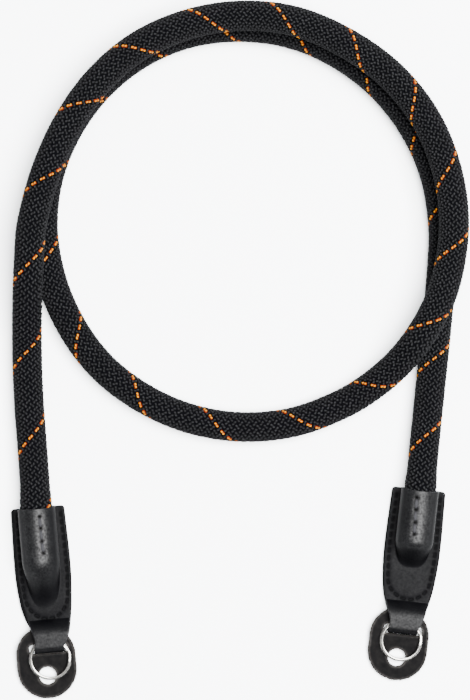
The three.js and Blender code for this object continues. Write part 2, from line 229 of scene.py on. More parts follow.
class Wire:
    """A node's output. Arithmetic on it adds Math nodes."""

    def __init__(self, paint: "Paint", socket: bpy.types.NodeSocket) -> None:
        """Keeps the output and the paint that it belongs to."""
        self.paint = paint
        self.socket = socket

    def __add__(self, other: Any) -> "Wire":
        """The sum."""
        return self.paint.maths("ADD", self, other)

    def __radd__(self, other: Any) -> "Wire":
        """The sum, from the right."""
        return self.paint.maths("ADD", other, self)

    def __sub__(self, other: Any) -> "Wire":
        """The difference."""
        return self.paint.maths("SUBTRACT", self, other)

    def __rsub__(self, other: Any) -> "Wire":
        """The difference, from the right."""
        return self.paint.maths("SUBTRACT", other, self)

    def __mul__(self, other: Any) -> "Wire":
        """The product."""
        return self.paint.maths("MULTIPLY", self, other)

    def __rmul__(self, other: Any) -> "Wire":
        """The product, from the right."""
        return self.paint.maths("MULTIPLY", other, self)


class Paint:
    """One material's node tree, around a Principled shader."""

    def __init__(self, name: str) -> None:
        """Starts an empty tree.

        Args:
            name: the material's name.
        """
        self.material = bpy.data.materials.new(name)
        self.material.use_nodes = True
        self.tree = self.material.node_tree
        self.tree.nodes.clear()
        self.shader = self.tree.nodes.new("ShaderNodeBsdfPrincipled")
        output = self.tree.nodes.new("ShaderNodeOutputMaterial")
        self.tree.links.new(self.shader.outputs[0], output.inputs[0])

    def node(
        self, kind: str, settings: dict[str, Any], inputs: dict[Any, Any], output: Any = 0
    ) -> Wire:
        """Adds any node.

        Args:
            kind: the node's type.
            settings: its own settings, set first.
            inputs: values or wires by the name or number of its sockets.
            output: the name or number of the output to hand back.

        Returns:
            That output.
        """
        made = self.tree.nodes.new(kind)
        for key, value in settings.items():
            setattr(made, key, value)
        for key, value in inputs.items():
            if isinstance(value, Wire):
                self.tree.links.new(value.socket, made.inputs[key])
            else:
                made.inputs[key].default_value = value
        return Wire(self, made.outputs[output])

    def maths(self, operation: str, *values: Any) -> Wire:
        """One Math node on wires or numbers."""
        inputs = dict(enumerate(values))
        return self.node("ShaderNodeMath", {"operation": operation}, inputs)

    def clamp(self, value: Wire) -> Wire:
        """The value, kept from 0 to 1."""
        return self.node("ShaderNodeClamp", {}, {0: value})

    def blend(self, amount: Any, low: Any, high: Any) -> Wire:
        """A colour between two, by an amount from 0 to 1."""
        settings = {"data_type": "RGBA"}
        return self.node("ShaderNodeMix", settings, {0: amount, 6: low, 7: high}, 2)

    def mark(self, name: str) -> Wire:
        """A number kept on the mesh."""
        return self.node("ShaderNodeAttribute", {"attribute_name": name}, {}, "Fac")

    def place(self) -> Wire:
        """Where the point is, in the object's own metres."""
        return self.node("ShaderNodeTexCoord", {}, {}, "Object")

    def pattern(self) -> Wire:
        """The piece's own pattern coordinates."""
        return self.node("ShaderNodeUVMap", {"uv_map": "pattern"}, {})

    def stretch(self, vector: Wire, scale: tuple[float, float, float]) -> Wire:
        """Coordinates multiplied by a scale on each axis."""
        inputs = {0: vector, 1: scale}
        return self.node("ShaderNodeVectorMath", {"operation": "MULTIPLY"}, inputs)

    def noise(self, vector: Wire, scale: float, detail: float, rough: float = 0.55) -> Wire:
        """Smooth noise from 0 to 1 with that many waves a metre."""
        inputs = {"Vector": vector, "Scale": scale, "Detail": detail, "Roughness": rough}
        return self.node("ShaderNodeTexNoise", {}, inputs, "Fac")

    def bump(self, height: Wire, distance: float, strength: float = 1.0) -> Wire:
        """A normal bumped by a height, whose 1 stands for a distance in metres."""
        inputs = {"Height": height, "Distance": distance, "Strength": strength}
        return self.node("ShaderNodeBump", {}, inputs)

    def set(self, **values: Any) -> bpy.types.Material:
        """Sets the shader's sockets, and hands back the finished material.

        Args:
            values: numbers, colours or wires by socket name, with _ for a space.

        Returns:
            The material.
        """
        for key, value in values.items():
            socket = self.shader.inputs[key.replace("_", " ")]
            if isinstance(value, Wire):
                self.tree.links.new(value.socket, socket)
            else:
                socket.default_value = value
        return self.material


Colour = tuple[float, float, float, float]


@dataclass(frozen=True)
class YarnFinish:
    """Braided yarn: many fine filaments side by side, with painted shade down in the crossings.
    """

    name: str
    # The first colour is painted shade, given to the low parts of each float.
    crevice_shade: Colour
    top: Colour
    pale: Colour
    filaments: float = 9.0

    def make(self) -> bpy.types.Material:
        """The yarn's material, from the marks tone and height and the pattern across it."""
        paint = Paint(self.name)
        height = paint.mark("height")
        tone = paint.mark("tone")
        across = paint.stretch(paint.pattern(), (1.0, self.filaments, 0.0))
        strands = paint.noise(across, 3.2, 2.0, 0.6)
        fuzz = paint.noise(paint.place(), 5200.0, 3.0, 0.7)
        body = paint.blend(tone, self.top, self.pale)
        # Filament streaks, partly filament texture and partly painted shade; below, painted shade
        # where the float lies low.
        filament_streaks = paint.blend(paint.clamp(strands * 0.7 + fuzz * 0.5 - 0.25), self.crevice_shade, body)
        colour = paint.blend(paint.clamp(height * 1.7 - 0.62), self.crevice_shade, filament_streaks)
        relief = strands * 0.6 + fuzz * 0.4
        return paint.set(
            Base_Color=colour,
            Roughness=paint.clamp(0.55 + fuzz * 0.3),
            Specular_IOR_Level=0.035,
            Normal=paint.bump(relief, 0.00012, 0.7),
        )


@dataclass(frozen=True)
class CoreFinish:
    """The core under the yarns, nearly black as painted shade for the gaps between them."""

    name: str
    colour: Colour

    def make(self) -> bpy.types.Material:
        """A nearly black, rough material with a little fibre in it."""
        paint = Paint(self.name)
        fuzz = paint.noise(paint.place(), 3800.0, 3.0)
        lighter = tuple(2.2 * c for c in self.colour[:3]) + (1.0,)
        return paint.set(
            Base_Color=paint.blend(fuzz, self.colour, lighter),
            Roughness=0.92,
            Specular_IOR_Level=0.0,
            Normal=paint.bump(fuzz, 0.00008),
        )


@dataclass(frozen=True)
class LeatherFinish:
    """Smooth black leather: a fine pebble, paler rubbed edges, painted shade in the stitch holes,
    and a painted sheen where it is marked.
    """

    name: str
    colour: Colour
    # On the leather this pale colour is real wear on rubbed edges only.
    wear_and_highlight: Colour
    # Painted shade for the stitch holes.
    pit: Colour
    roughness: float = 0.5
    # The coat that carries the painted sheen.
    painted_sheen_index: float = 1.36
    painted_sheen_roughness: float = 0.5

    def make(self) -> bpy.types.Material:
        """The leather's material, from the marks edge and pit, the sheen mark and fine noise: pit
        is painted shade in the stitch holes, and the sheen mark places a coat as a painted
        highlight.
        """
        paint = Paint(self.name)
        place = paint.place()
        cells = paint.node(
            "ShaderNodeTexVoronoi",
            {"feature": "F1", "distance": "EUCLIDEAN"},
            {"Vector": place, "Scale": 2600.0, "Randomness": 1.0},
            "Distance",
        )
        fine = paint.noise(place, 3000.0, 4.0, 0.65)
        broad = paint.noise(place, 170.0, 3.0, 0.5)
        pebble = cells * 0.7 + fine * 0.5
        edge = paint.mark("edge")
        pit = paint.mark("pit")
        plain = paint.blend(paint.clamp(broad * 1.3 - 0.3), self.colour, self.wear_and_highlight)
        wear_and_highlight = paint.blend(paint.clamp(edge * (0.45 + fine * 0.7)), plain, self.wear_and_highlight)
        rough = self.roughness + fine * 0.12 + edge * 0.1 + pit * 0.3
        specks = paint.noise(place, 1300.0, 3.0, 0.7)
        grain = paint.clamp(specks * 1.8 - 0.45) * (0.6 + broad * 0.6)
        return paint.set(
            # Painted shade in the stitch holes, laid by the mark pit.
            Base_Color=paint.blend(pit, wear_and_highlight, self.pit),
            Roughness=paint.clamp(rough),
            Specular_IOR_Level=0.015,
            # Painted sheen: the coat lies where the sheen mark says, speckled by grain and kept
            # out of the stitch holes.
            Coat_Weight=paint.clamp(paint.mark("painted_sheen") * grain * (1 - pit)),
            Coat_IOR=self.painted_sheen_index,
            Coat_Roughness=self.painted_sheen_roughness,
            Normal=paint.bump(pebble, 0.00005, 0.6),
        )


@dataclass(frozen=True)
class ThreadFinish:
    """Waxed black thread, twisted from three plies."""

    name: str
    colour: Colour
    light: Colour
    # The last colour is a painted highlight for the stitches' middles.
    wear_and_highlight: Colour

    def make(self) -> bpy.types.Material:
        """The thread's material: slanted bands for the plies, and a painted highlight where the
        mark lit is high.
        """
        paint = Paint(self.name)
        waves = paint.node(
            "ShaderNodeTexWave",
            {"wave_type": "BANDS", "bands_direction": "DIAGONAL", "wave_profile": "SIN"},
            {"Vector": paint.pattern(), "Scale": 3.0, "Distortion": 0.4},
            "Fac",
        )
        fuzz = paint.noise(paint.place(), 9000.0, 2.0)
        plies = paint.blend(waves * 0.8 + fuzz * 0.2, self.colour, self.light)
        return paint.set(
            # Painted highlight: stitch middles paled where the mark lit is high.
            Base_Color=paint.blend(paint.mark("lit"), plies, self.wear_and_highlight),
            Roughness=paint.clamp(0.62 + fuzz * 0.25),
            Specular_IOR_Level=0.03,
            Normal=paint.bump(waves, 0.00008),
        )


@dataclass(frozen=True)
class SuedeFinish:
    """Matte black split leather: short nap with a mottled shade, and loose fibre at its cut."""

    name: str
    colour: Colour
    brushed: Colour
    fibre: Colour

    def make(self) -> bpy.types.Material:
        """The suede's material, from the mark edge and noise in the part's frame."""
        paint = Paint(self.name)
        place = paint.place()
        nap = paint.noise(place, 2600.0, 5.0, 0.75)
        patches = paint.noise(place, 420.0, 3.0, 0.6)
        edge = paint.mark("edge")
        mottled = paint.blend(paint.clamp(patches * 1.6 - 0.35), self.colour, self.brushed)
        cut = paint.clamp(edge * (0.3 + nap * 0.9))
        return paint.set(
            Base_Color=paint.blend(cut, mottled, self.fibre),
            Roughness=paint.clamp(0.8 + nap * 0.15),
            Specular_IOR_Level=0.02,
            Normal=paint.bump(nap, 0.00016, 0.8),
        )


@dataclass(frozen=True)
class SteelFinish:
    """Bright plated spring steel, with fine draw lines along the wire and faint wear."""

    name: str
    colour: Colour
    dull: Colour

    def make(self) -> bpy.types.Material:
        """The steel's material: lines along the pattern's run, spots in the part's frame."""
        paint = Paint(self.name)
        lines = paint.noise(paint.stretch(paint.pattern(), (3.0, 90.0, 0.0)), 1.0, 3.0)
        spots = paint.noise(paint.place(), 1400.0, 3.0, 0.6)
        return paint.set(
            Base_Color=paint.blend(paint.clamp(spots * 1.5 - 0.6), self.colour, self.dull),
            Metallic=1.0,
            Roughness=paint.clamp(0.12 + lines * 0.12 + spots * 0.08),
            Normal=paint.bump(lines, 0.00002, 0.4),
        )


@dataclass(frozen=True)
class FloorFinish:
    """A plain pale sheet."""

    name: str
    colour: Colour

    def make(self) -> bpy.types.Material:
        """A matte, nearly white material."""
        paint = Paint(self.name)
        return paint.set(Base_Color=self.colour, Roughness=0.9, Specular_IOR_Level=0.1)


def dress(piece: bpy.types.Object, slot: str, *replaced: str) -> bpy.types.Object:
    """Lets a piece ride on the strap, hides the solids that it stands for, and reports it.

    Args:
        piece: the finished piece.
        slot: not used.
        replaced: the solids that it stands for.

    Returns:
        The same piece.
    """
    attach(piece, "root")
    if replaced:
        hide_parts(*replaced)
    polygons = piece.data.polygons
    sides = np.zeros(len(polygons), np.int32)
    polygons.foreach_get("loop_total", sides)
    log.info("%s: %d triangles", piece.name, int((sides - 2).sum()))
    return piece


# Rope

LEFT_LEG = np.array([
    # x, y, lift
    (-0.0679, 0.0398, 0.08),
    (-0.0687, 0.0504, 0.02),
    (-0.0699, 0.0662, 0),
    (-0.0705, 0.0800, 0.02),
    (-0.0706, 0.0900, 0.1),
    (-0.0704, 0.0985, 0.33),
    (-0.0700, 0.1065, 0.62),
    (-0.0695, 0.1145, 0.84),
    (-0.0690, 0.1225, 0.94),
])
COIL = np.array([
    # turn in degrees, radius, lift
    (0, 0.0729, 0.96),
    (15, 0.0704, 1),
    (30, 0.0699, 1),
    (45, 0.0707, 1),
    (60, 0.0718, 0.99),
    (75, 0.0724, 0.985),
    (90, 0.0731, 0.97),
    (105, 0.0737, 0.955),
    (120, 0.0736, 0.95),
    (135, 0.0743, 0.93),
    (150, 0.0748, 0.92),
    (165, 0.0748, 0.94),
    (180, 0.0748, 0.96),
    (195, 0.0746, 0.99),
    (204, 0.0743, 0.98),
    (213, 0.0739, 0.83),
    (222, 0.0736, 0.48),
    (231, 0.0730, 0.18),
    (240, 0.0724, 0.04),
    (255, 0.0717, 0.005),
    (270, 0.0709, 0),
    (285, 0.0702, 0),
    (300, 0.0697, 0),
    (315, 0.0696, 0),
    (330, 0.0692, 0),
    (345, 0.0692, 0),
    (360, 0.0696, 0),
    (375, 0.0698, 0),
    (390, 0.0698, 0),
    (405, 0.0701, 0),
    (420, 0.0704, 0),
    (435, 0.0705, 0),
    (450, 0.0703, 0),
    (465, 0.0703, 0),
    (480, 0.0701, 0),
    (495, 0.0702, 0),
    (510, 0.0705, 0),
    (525, 0.0711, 0),
    (540, 0.0717, 0),
    (550, 0.0725, 0),
])
RIGHT_LEG = np.array([
    # x, y, lift
    (0.0747, 0.1012, 0),
    (0.0734, 0.0874, 0),
    (0.0719, 0.0733, 0),
    (0.0706, 0.0609, 0.01),
    (0.0695, 0.0503, 0.06),
])
# How far the orange yarn has turned round the rope, by the length from the left end
BRAID_TURNS = np.array([
    # length, turns
    (0.0000, -1.45),
    (0.0433, 0),
    (0.0736, 1),
    (0.1060, 2),
    (0.1358, 3),
    (0.1650, 4),
    (0.3835, 12),
    (0.5920, 19),
    (0.7048, 23),
    (0.8690, 29),
    (0.9070, 30.27),
])
COIL_CENTRE = (0.0046, 0.1294)


class Lay(Enum):
    """Which way a yarn winds round the rope as it runs on."""

    RIGHT = 1
    LEFT = -1


@dataclass
class Pocket:
    """Where one end of the rope sits in its leather end.

    Args:
        x, y: the mouth's middle.
        lean: how far the end leans, in degrees.
        inside: how far the rope runs in.
        height: the rope's middle above the surface.
    """

    x: float
    y: float
    lean: float
    inside: float
    height: float = 6.65 * MM

    def at(self, from_mouth: float) -> tuple[float, float, float]:
        """The point of the rope's middle that far inside the mouth."""
        lean = math.radians(self.lean)
        x = self.x + from_mouth * math.sin(lean)
        return (x, self.y - from_mouth * math.cos(lean), self.height)


LEFT_POCKET = Pocket(-0.0673, 0.0299, 5.05, 0.0185)
RIGHT_POCKET = Pocket(0.0681, 0.0363, -6.5, 0.018)


@dataclass
class Rope:
    """The braided rope: a dark core, and the yarns that cross over each other round it.

    The yarns are 12 that wind to the right and 12 that wind to the left, each of two plies
    twisted together and each passing over one and under one. One of the right ones is orange.
    """

    diameter: float = 10.3 * MM
    length: float = 0.906
    clearance: float = 0.3 * MM
    core_share: float = 0.86
    carriers: int = 12
    pitch: float = 28.4 * MM
    yarn_width: float = 1.12 * MM
    yarn_rise: float = 0.85 * MM
    overlap: float = 0.66
    spread: float = 1.05
    flare: float = 0.075
    lobe_slant: float = 0.42
    hollow: float = 0.25
    bare_end: float = 1.2 * MM
    parts: int = 2

    def __post_init__(self) -> None:
        """Lays the rope's middle line and the directions round it."""
        self.line = self.route()
        self.reach = lengths_along(self.line)
        self.ahead = unit(np.gradient(self.line, self.reach, axis=0))
        log.info("rope middle line: %.4f m", self.reach[-1])

    def route(self) -> Array:
        """The middle line: a centripetal Catmull-Rom curve through the route's points.

        Each span is the cubic between two points whose slopes come from the square root
        of the distances between the four points round it, so it never loops or overshoots.

        Returns:
            Points close together along the line, in metres.
        """
        radius = self.diameter / 2
        stack = self.diameter + self.clearance
        angle = np.pi - np.radians(COIL[:, 0])
        coil = np.stack([
            COIL_CENTRE[0] + COIL[:, 1] * np.cos(angle),
            COIL_CENTRE[1] + COIL[:, 1] * np.sin(angle),
            COIL[:, 2],
        ], axis=1)
        laid = np.concatenate([LEFT_LEG, coil, RIGHT_LEG])
        laid[:, 2] = radius + laid[:, 2] * stack
        left = [LEFT_POCKET.inside - self.clearance, LEFT_POCKET.inside / 2, 0.0]
        right = [0.0, RIGHT_POCKET.inside / 2, RIGHT_POCKET.inside - self.clearance]
        knots = np.concatenate([
            [LEFT_POCKET.at(v) for v in left],
            laid,
            [RIGHT_POCKET.at(v) for v in right],
        ])
        full = np.concatenate([
            [2 * knots[0] - knots[1]], knots, [2 * knots[-1] - knots[-2]],
        ])
        gaps = np.sum(np.diff(full, axis=0) ** 2, axis=1) ** 0.25
        p0, p1, p2, p3 = full[:-3], full[1:-2], full[2:-1], full[3:]
        d0, d1, d2 = gaps[:-2, None], gaps[1:-1, None], gaps[2:, None]
        out = ((p1 - p0) / d0 - (p2 - p0) / (d0 + d1) + (p2 - p1) / d1) * d1
        into = ((p2 - p1) / d1 - (p3 - p1) / (d1 + d2) + (p3 - p2) / d2) * d1
        t = np.linspace(0, 1, 60, endpoint=False)[None, :, None]
        cubic = (
            (2 * t**3 - 3 * t**2 + 1) * p1[:, None]
            + (t**3 - 2 * t**2 + t) * out[:, None]
            + (3 * t**2 - 2 * t**3) * p2[:, None]
            + (t**3 - t**2) * into[:, None]
        )
        return np.concatenate([cubic.reshape(-1, 3), knots[-1:]])

    def around(self, along: Array, angle: Array, radius: Array) -> Array:
        """Points about the rope's middle line.

        The point is the middle at that length, plus radius times the cosine of the angle
        upwards and the sine to the right of the way that the rope runs.

        Args:
            along: the length from the left end.
            angle: the angle from the top towards the right, in radians.
            radius: the distance from the middle line.

        Returns:
            The points, with x, y, z last.
        """
        middle = follow(along, self.reach, self.line)
        way = unit(follow(along, self.reach, self.ahead))
        side = unit(np.cross(way, np.array([0.0, 0.0, 1.0])))
        up = np.cross(side, way)
        wide = self.spread + self.flare * self.squeeze(along)
        outward = up * np.cos(angle)[..., None] + side * (wide * np.sin(angle))[..., None]
        return middle + outward * np.asarray(radius)[..., None]

    def squeeze(self, along: Array) -> Array:
        """How far the leather presses the rope wide: 1 at a mouth, 0 well clear of it."""
        right_mouth = self.reach[-1] - RIGHT_POCKET.inside
        outside = np.minimum(along - LEFT_POCKET.inside, right_mouth - along)
        return (1 - smooth_step(outside, 0.0, 9 * MM)) * smooth_step(outside, -4 * MM, -1 * MM)

    def make_core(self, material: bpy.types.Material) -> bpy.types.Object:
        """The core: circles along the middle line, rounded in to a pole at each end."""
        along = np.linspace(0, self.reach[-1], 640)
        angle = np.linspace(0, 2 * np.pi, 16, endpoint=False)
        radius = self.core_share * self.diameter / 2
        from_end = np.minimum(along, along[-1] - along)
        taper = np.sqrt(1 - (1 - np.clip(from_end / (2 * MM), 0, 1)) ** 2) * 0.98 + 0.02
        s, a = np.meshgrid(along, angle, indexing="ij")
        rings = self.around(s, a, radius * np.broadcast_to(taper[:, None], s.shape))
        uv = np.stack([s / (2 * MM), a], axis=-1)
        return tube_skin(rings, uv).to_object("rope_core", material)

    def floats(self, lay: Lay) -> tuple[Array, Array, NDArray[np.int64]]:
        """Where each yarn of one lay lies on top of one that it crosses.

        Yarns cross where the turn is a whole number of steps, 24 to a turn, in 24 straight
        columns round the rope. A right yarn is on top at every even crossing, and a left one
        at every odd one.

        Args:
            lay: which way the yarns wind.

        Returns:
            The tops' angles, their turns, and the number of the yarn that each belongs to.
        """
        steps = 2 * self.carriers
        first, last = BRAID_TURNS[0, 1], BRAID_TURNS[-1, 1]
        odd = 0 if lay is Lay.RIGHT else 1
        row = np.arange(math.ceil(first * steps), math.floor(last * steps))
        row = row[row % 2 == odd]
        column = np.arange(odd, steps, 2)
        a, b = (m.ravel() for m in np.meshgrid(column, row, indexing="ij"))
        carrier = ((a - b) // 2) % self.carriers
        return np.pi * a / self.carriers, b / steps, carrier

    def yarn_patches(
        self, angle: Array, turn: Array, lay: Lay, seed: int, size: float = 1.0
    ) -> Skin:
        """A rounded patch for each place where a yarn lies on top.

        A patch runs most of a crossing step each way from its middle, along the yarn's own
        slant. Its height follows the square root of 1 less the square of the share of the
        half width across, and the same for each of two lobes along it, where one ply comes
        up after the other. The hollow between the lobes lies aslant and isn't quite empty.

        Args:
            angle: the patches' middle angles.
            turn: the patches' middles, in turns of the braid.
            lay: which way the yarn winds.
            seed: the number that the small irregularities start from.
            size: the length and width of these patches, as a share of the usual one.

        Returns:
            The skin that holds them.
        """
        draw = np.random.default_rng(seed)
        count = len(angle)
        along = np.interp(turn, BRAID_TURNS[:, 1], BRAID_TURNS[:, 0])
        radius = self.diameter / 2
        step_angle = np.pi / self.carriers
        step_along = self.pitch / (2 * self.carriers)
        step = math.hypot(radius * step_angle, step_along)
        slant = np.array([radius * step_angle * lay.value, step_along]) / step
        across = np.array([slant[1], -slant[0]]) * lay.value
        a = np.linspace(-1, 1, 9)[None, :, None]
        b = np.linspace(-1, 1, 5)[None, None, :]
        half = self.yarn_width / 2 * size * draw.uniform(0.93, 1.04, count)[:, None, None]
        reach = step * self.overlap * size * draw.uniform(0.95, 1.05, count)[:, None, None]
        lobe = 2 * np.abs(np.clip(a + self.lobe_slant * b * (1 - a**2), -1, 1)) - 1
        lobes = np.maximum(np.sqrt(1 - lobe**2), self.hollow * (np.abs(a) < 0.5))
        round_half = half * (0.96 + 0.04 * lobes)
        swung = (a * reach) * slant[0] + (b * round_half) * across[0]
        passed = (a * reach) * slant[1] + (b * round_half) * across[1]
        crown = np.sqrt(np.clip(1 - b**2, 0, 1)) * lobes
        jitter = draw.normal(0, 0.02 * MM, count)[:, None, None]
        crown = np.broadcast_to(crown, swung.shape)
        height = radius - self.yarn_rise + self.yarn_rise * crown + jitter
        points = self.around(
            np.clip(along[:, None, None] + passed, 0, self.reach[-1]),
            angle[:, None, None] + swung / radius,
            height,
        )
        inside = (along > self.bare_end) & (along < self.reach[-1] - self.bare_end)
        tone = np.broadcast_to(draw.beta(2, 3, count)[:, None, None], crown.shape)
        offset = draw.uniform(0, 50, count)[:, None, None]
        uv = np.stack([
            np.broadcast_to(a, crown.shape) * 0.5 + offset,
            np.broadcast_to(b, crown.shape) + offset,
        ], axis=-1)
        marks = {"height": crown[inside], "tone": tone[inside]}
        return patches_skin(points[inside], uv[inside], marks)

    def build(self) -> bpy.types.Object:
        """Makes the core and the yarns; the core stands in for the rope's solid, which is hidden.

        Returns:
            The core.
        """
        # The first colour of each yarn finish is painted shade for the low parts between
        # crossings.
        dark = YarnFinish(
            "charcoal_yarn", (0.0003, 0.0003, 0.0004, 1), (0.0150, 0.0152, 0.0166, 1),
            (0.0300, 0.0303, 0.0325, 1),
        ).make()
        orange = YarnFinish(
            "orange_yarn", (0.07, 0.005, 0.0, 1), (0.62, 0.23, 0.008, 1),
            (0.78, 0.38, 0.012, 1),
        ).make()
        # The core's nearly black colour is painted shade, seen through the gaps in the braid.
        core = self.make_core(CoreFinish("rope_core", (0.0006, 0.0006, 0.0008, 1)).make())
        dress(core, "braid", "rope")
        for lay in Lay:
            angle, turn, carrier = self.floats(lay)
            plain = (carrier != 0) | (lay is Lay.LEFT)
            if lay is Lay.RIGHT:
                skin = self.yarn_patches(angle[~plain], turn[~plain], lay, 5, 0.94)
                dress(skin.to_object("orange_yarn", orange), "braid")
            bounds = np.linspace(BRAID_TURNS[0, 1], BRAID_TURNS[-1, 1], self.parts + 1)
            for part in range(self.parts):
                chosen = plain & (turn >= bounds[part]) & (turn < bounds[part + 1])
                seed = 11 + part + 7 * lay.value
                skin = self.yarn_patches(angle[chosen], turn[chosen], lay, seed)
                name = f"{lay.name.lower()}_laid_yarns_{part + 1}"
                dress(skin.to_object(name, dark), "braid")
        LEFT_POCKET.at(0.0)
        self.line[::6].tolist() + [self.line[-1].tolist()]
        return core


# Leather ends, split rings and ring pads

END_OUTLINE = np.array([
    # along, width, shift, ring, overhang
    (0, 0.9, 0, 0, 1),
    (0.12, 0.94, 0, 0, 1),
    (0.29, 1, 0, 0, 1),
    (0.47, 1, 0, 0, 1),
    (0.6, 0.9, 0, 0, 1),
    (0.69, 0.78, 0.1, 0, 1),
    (0.76, 0.63, 0.3, 0, 0.8),
    (0.82, 0.45, 0.65, 0, 0.5),
    (0.87, 0.26, 1, 0, 0.2),
    (0.92, 0.1, 0.9, 0.3, 0),
    (0.96, 0.02, 0.2, 0.9, 0),
    (1, 0, 0, 1, 0),
])


class Share(Enum):
    """A column of the leather end's outline."""

    WIDTH = 1
    SHIFT = 2
    RING = 3
    OVERHANG = 4


class Side(Enum):
    """A side of a leather end, with the sign of its u."""

    LEFT = -1
    RIGHT = 1


def look_up(share: Share, along: Array) -> Array:
    """A share of the outline at a place along the end, on a smooth curve through the rows.

    Each span is a cubic whose slope at a row is that between the rows beside it.

    Args:
        share: the column.
        along: places, as shares of the reach to the fold.

    Returns:
        The shares there.
    """
    x, y = END_OUTLINE[:, 0], END_OUTLINE[:, share.value]
    place = np.arange(len(x))
    before, after = np.maximum(place - 1, 0), np.minimum(place + 1, len(x) - 1)
    slope = (y[after] - y[before]) / (x[after] - x[before])
    at = np.clip(along, x[0], x[-1])
    right = np.clip(np.searchsorted(x, at, side="left"), 1, len(x) - 1)
    left = right - 1
    span = x[right] - x[left]
    t = (at - x[left]) / span
    eased = t * t * (3 - 2 * t)
    lead = t * (1 - t) ** 2 * span * slope[left]
    trail = t * t * (1 - t) * span * slope[right]
    return y[left] * (1 - eased) + y[right] * eased + lead - trail


@dataclass(frozen=True)
class Dent:
    """A bell-shaped dent in leather, in millimetres.

    Args:
        depth: how deep its middle lies.
        width: how far from the middle it falls to about a third of that.
    """

    depth: float
    width: float

    def at(self, gap: Array) -> Array:
        """The depth at a gap from the middle."""
        return self.depth * np.exp(-((gap / self.width) ** 2))


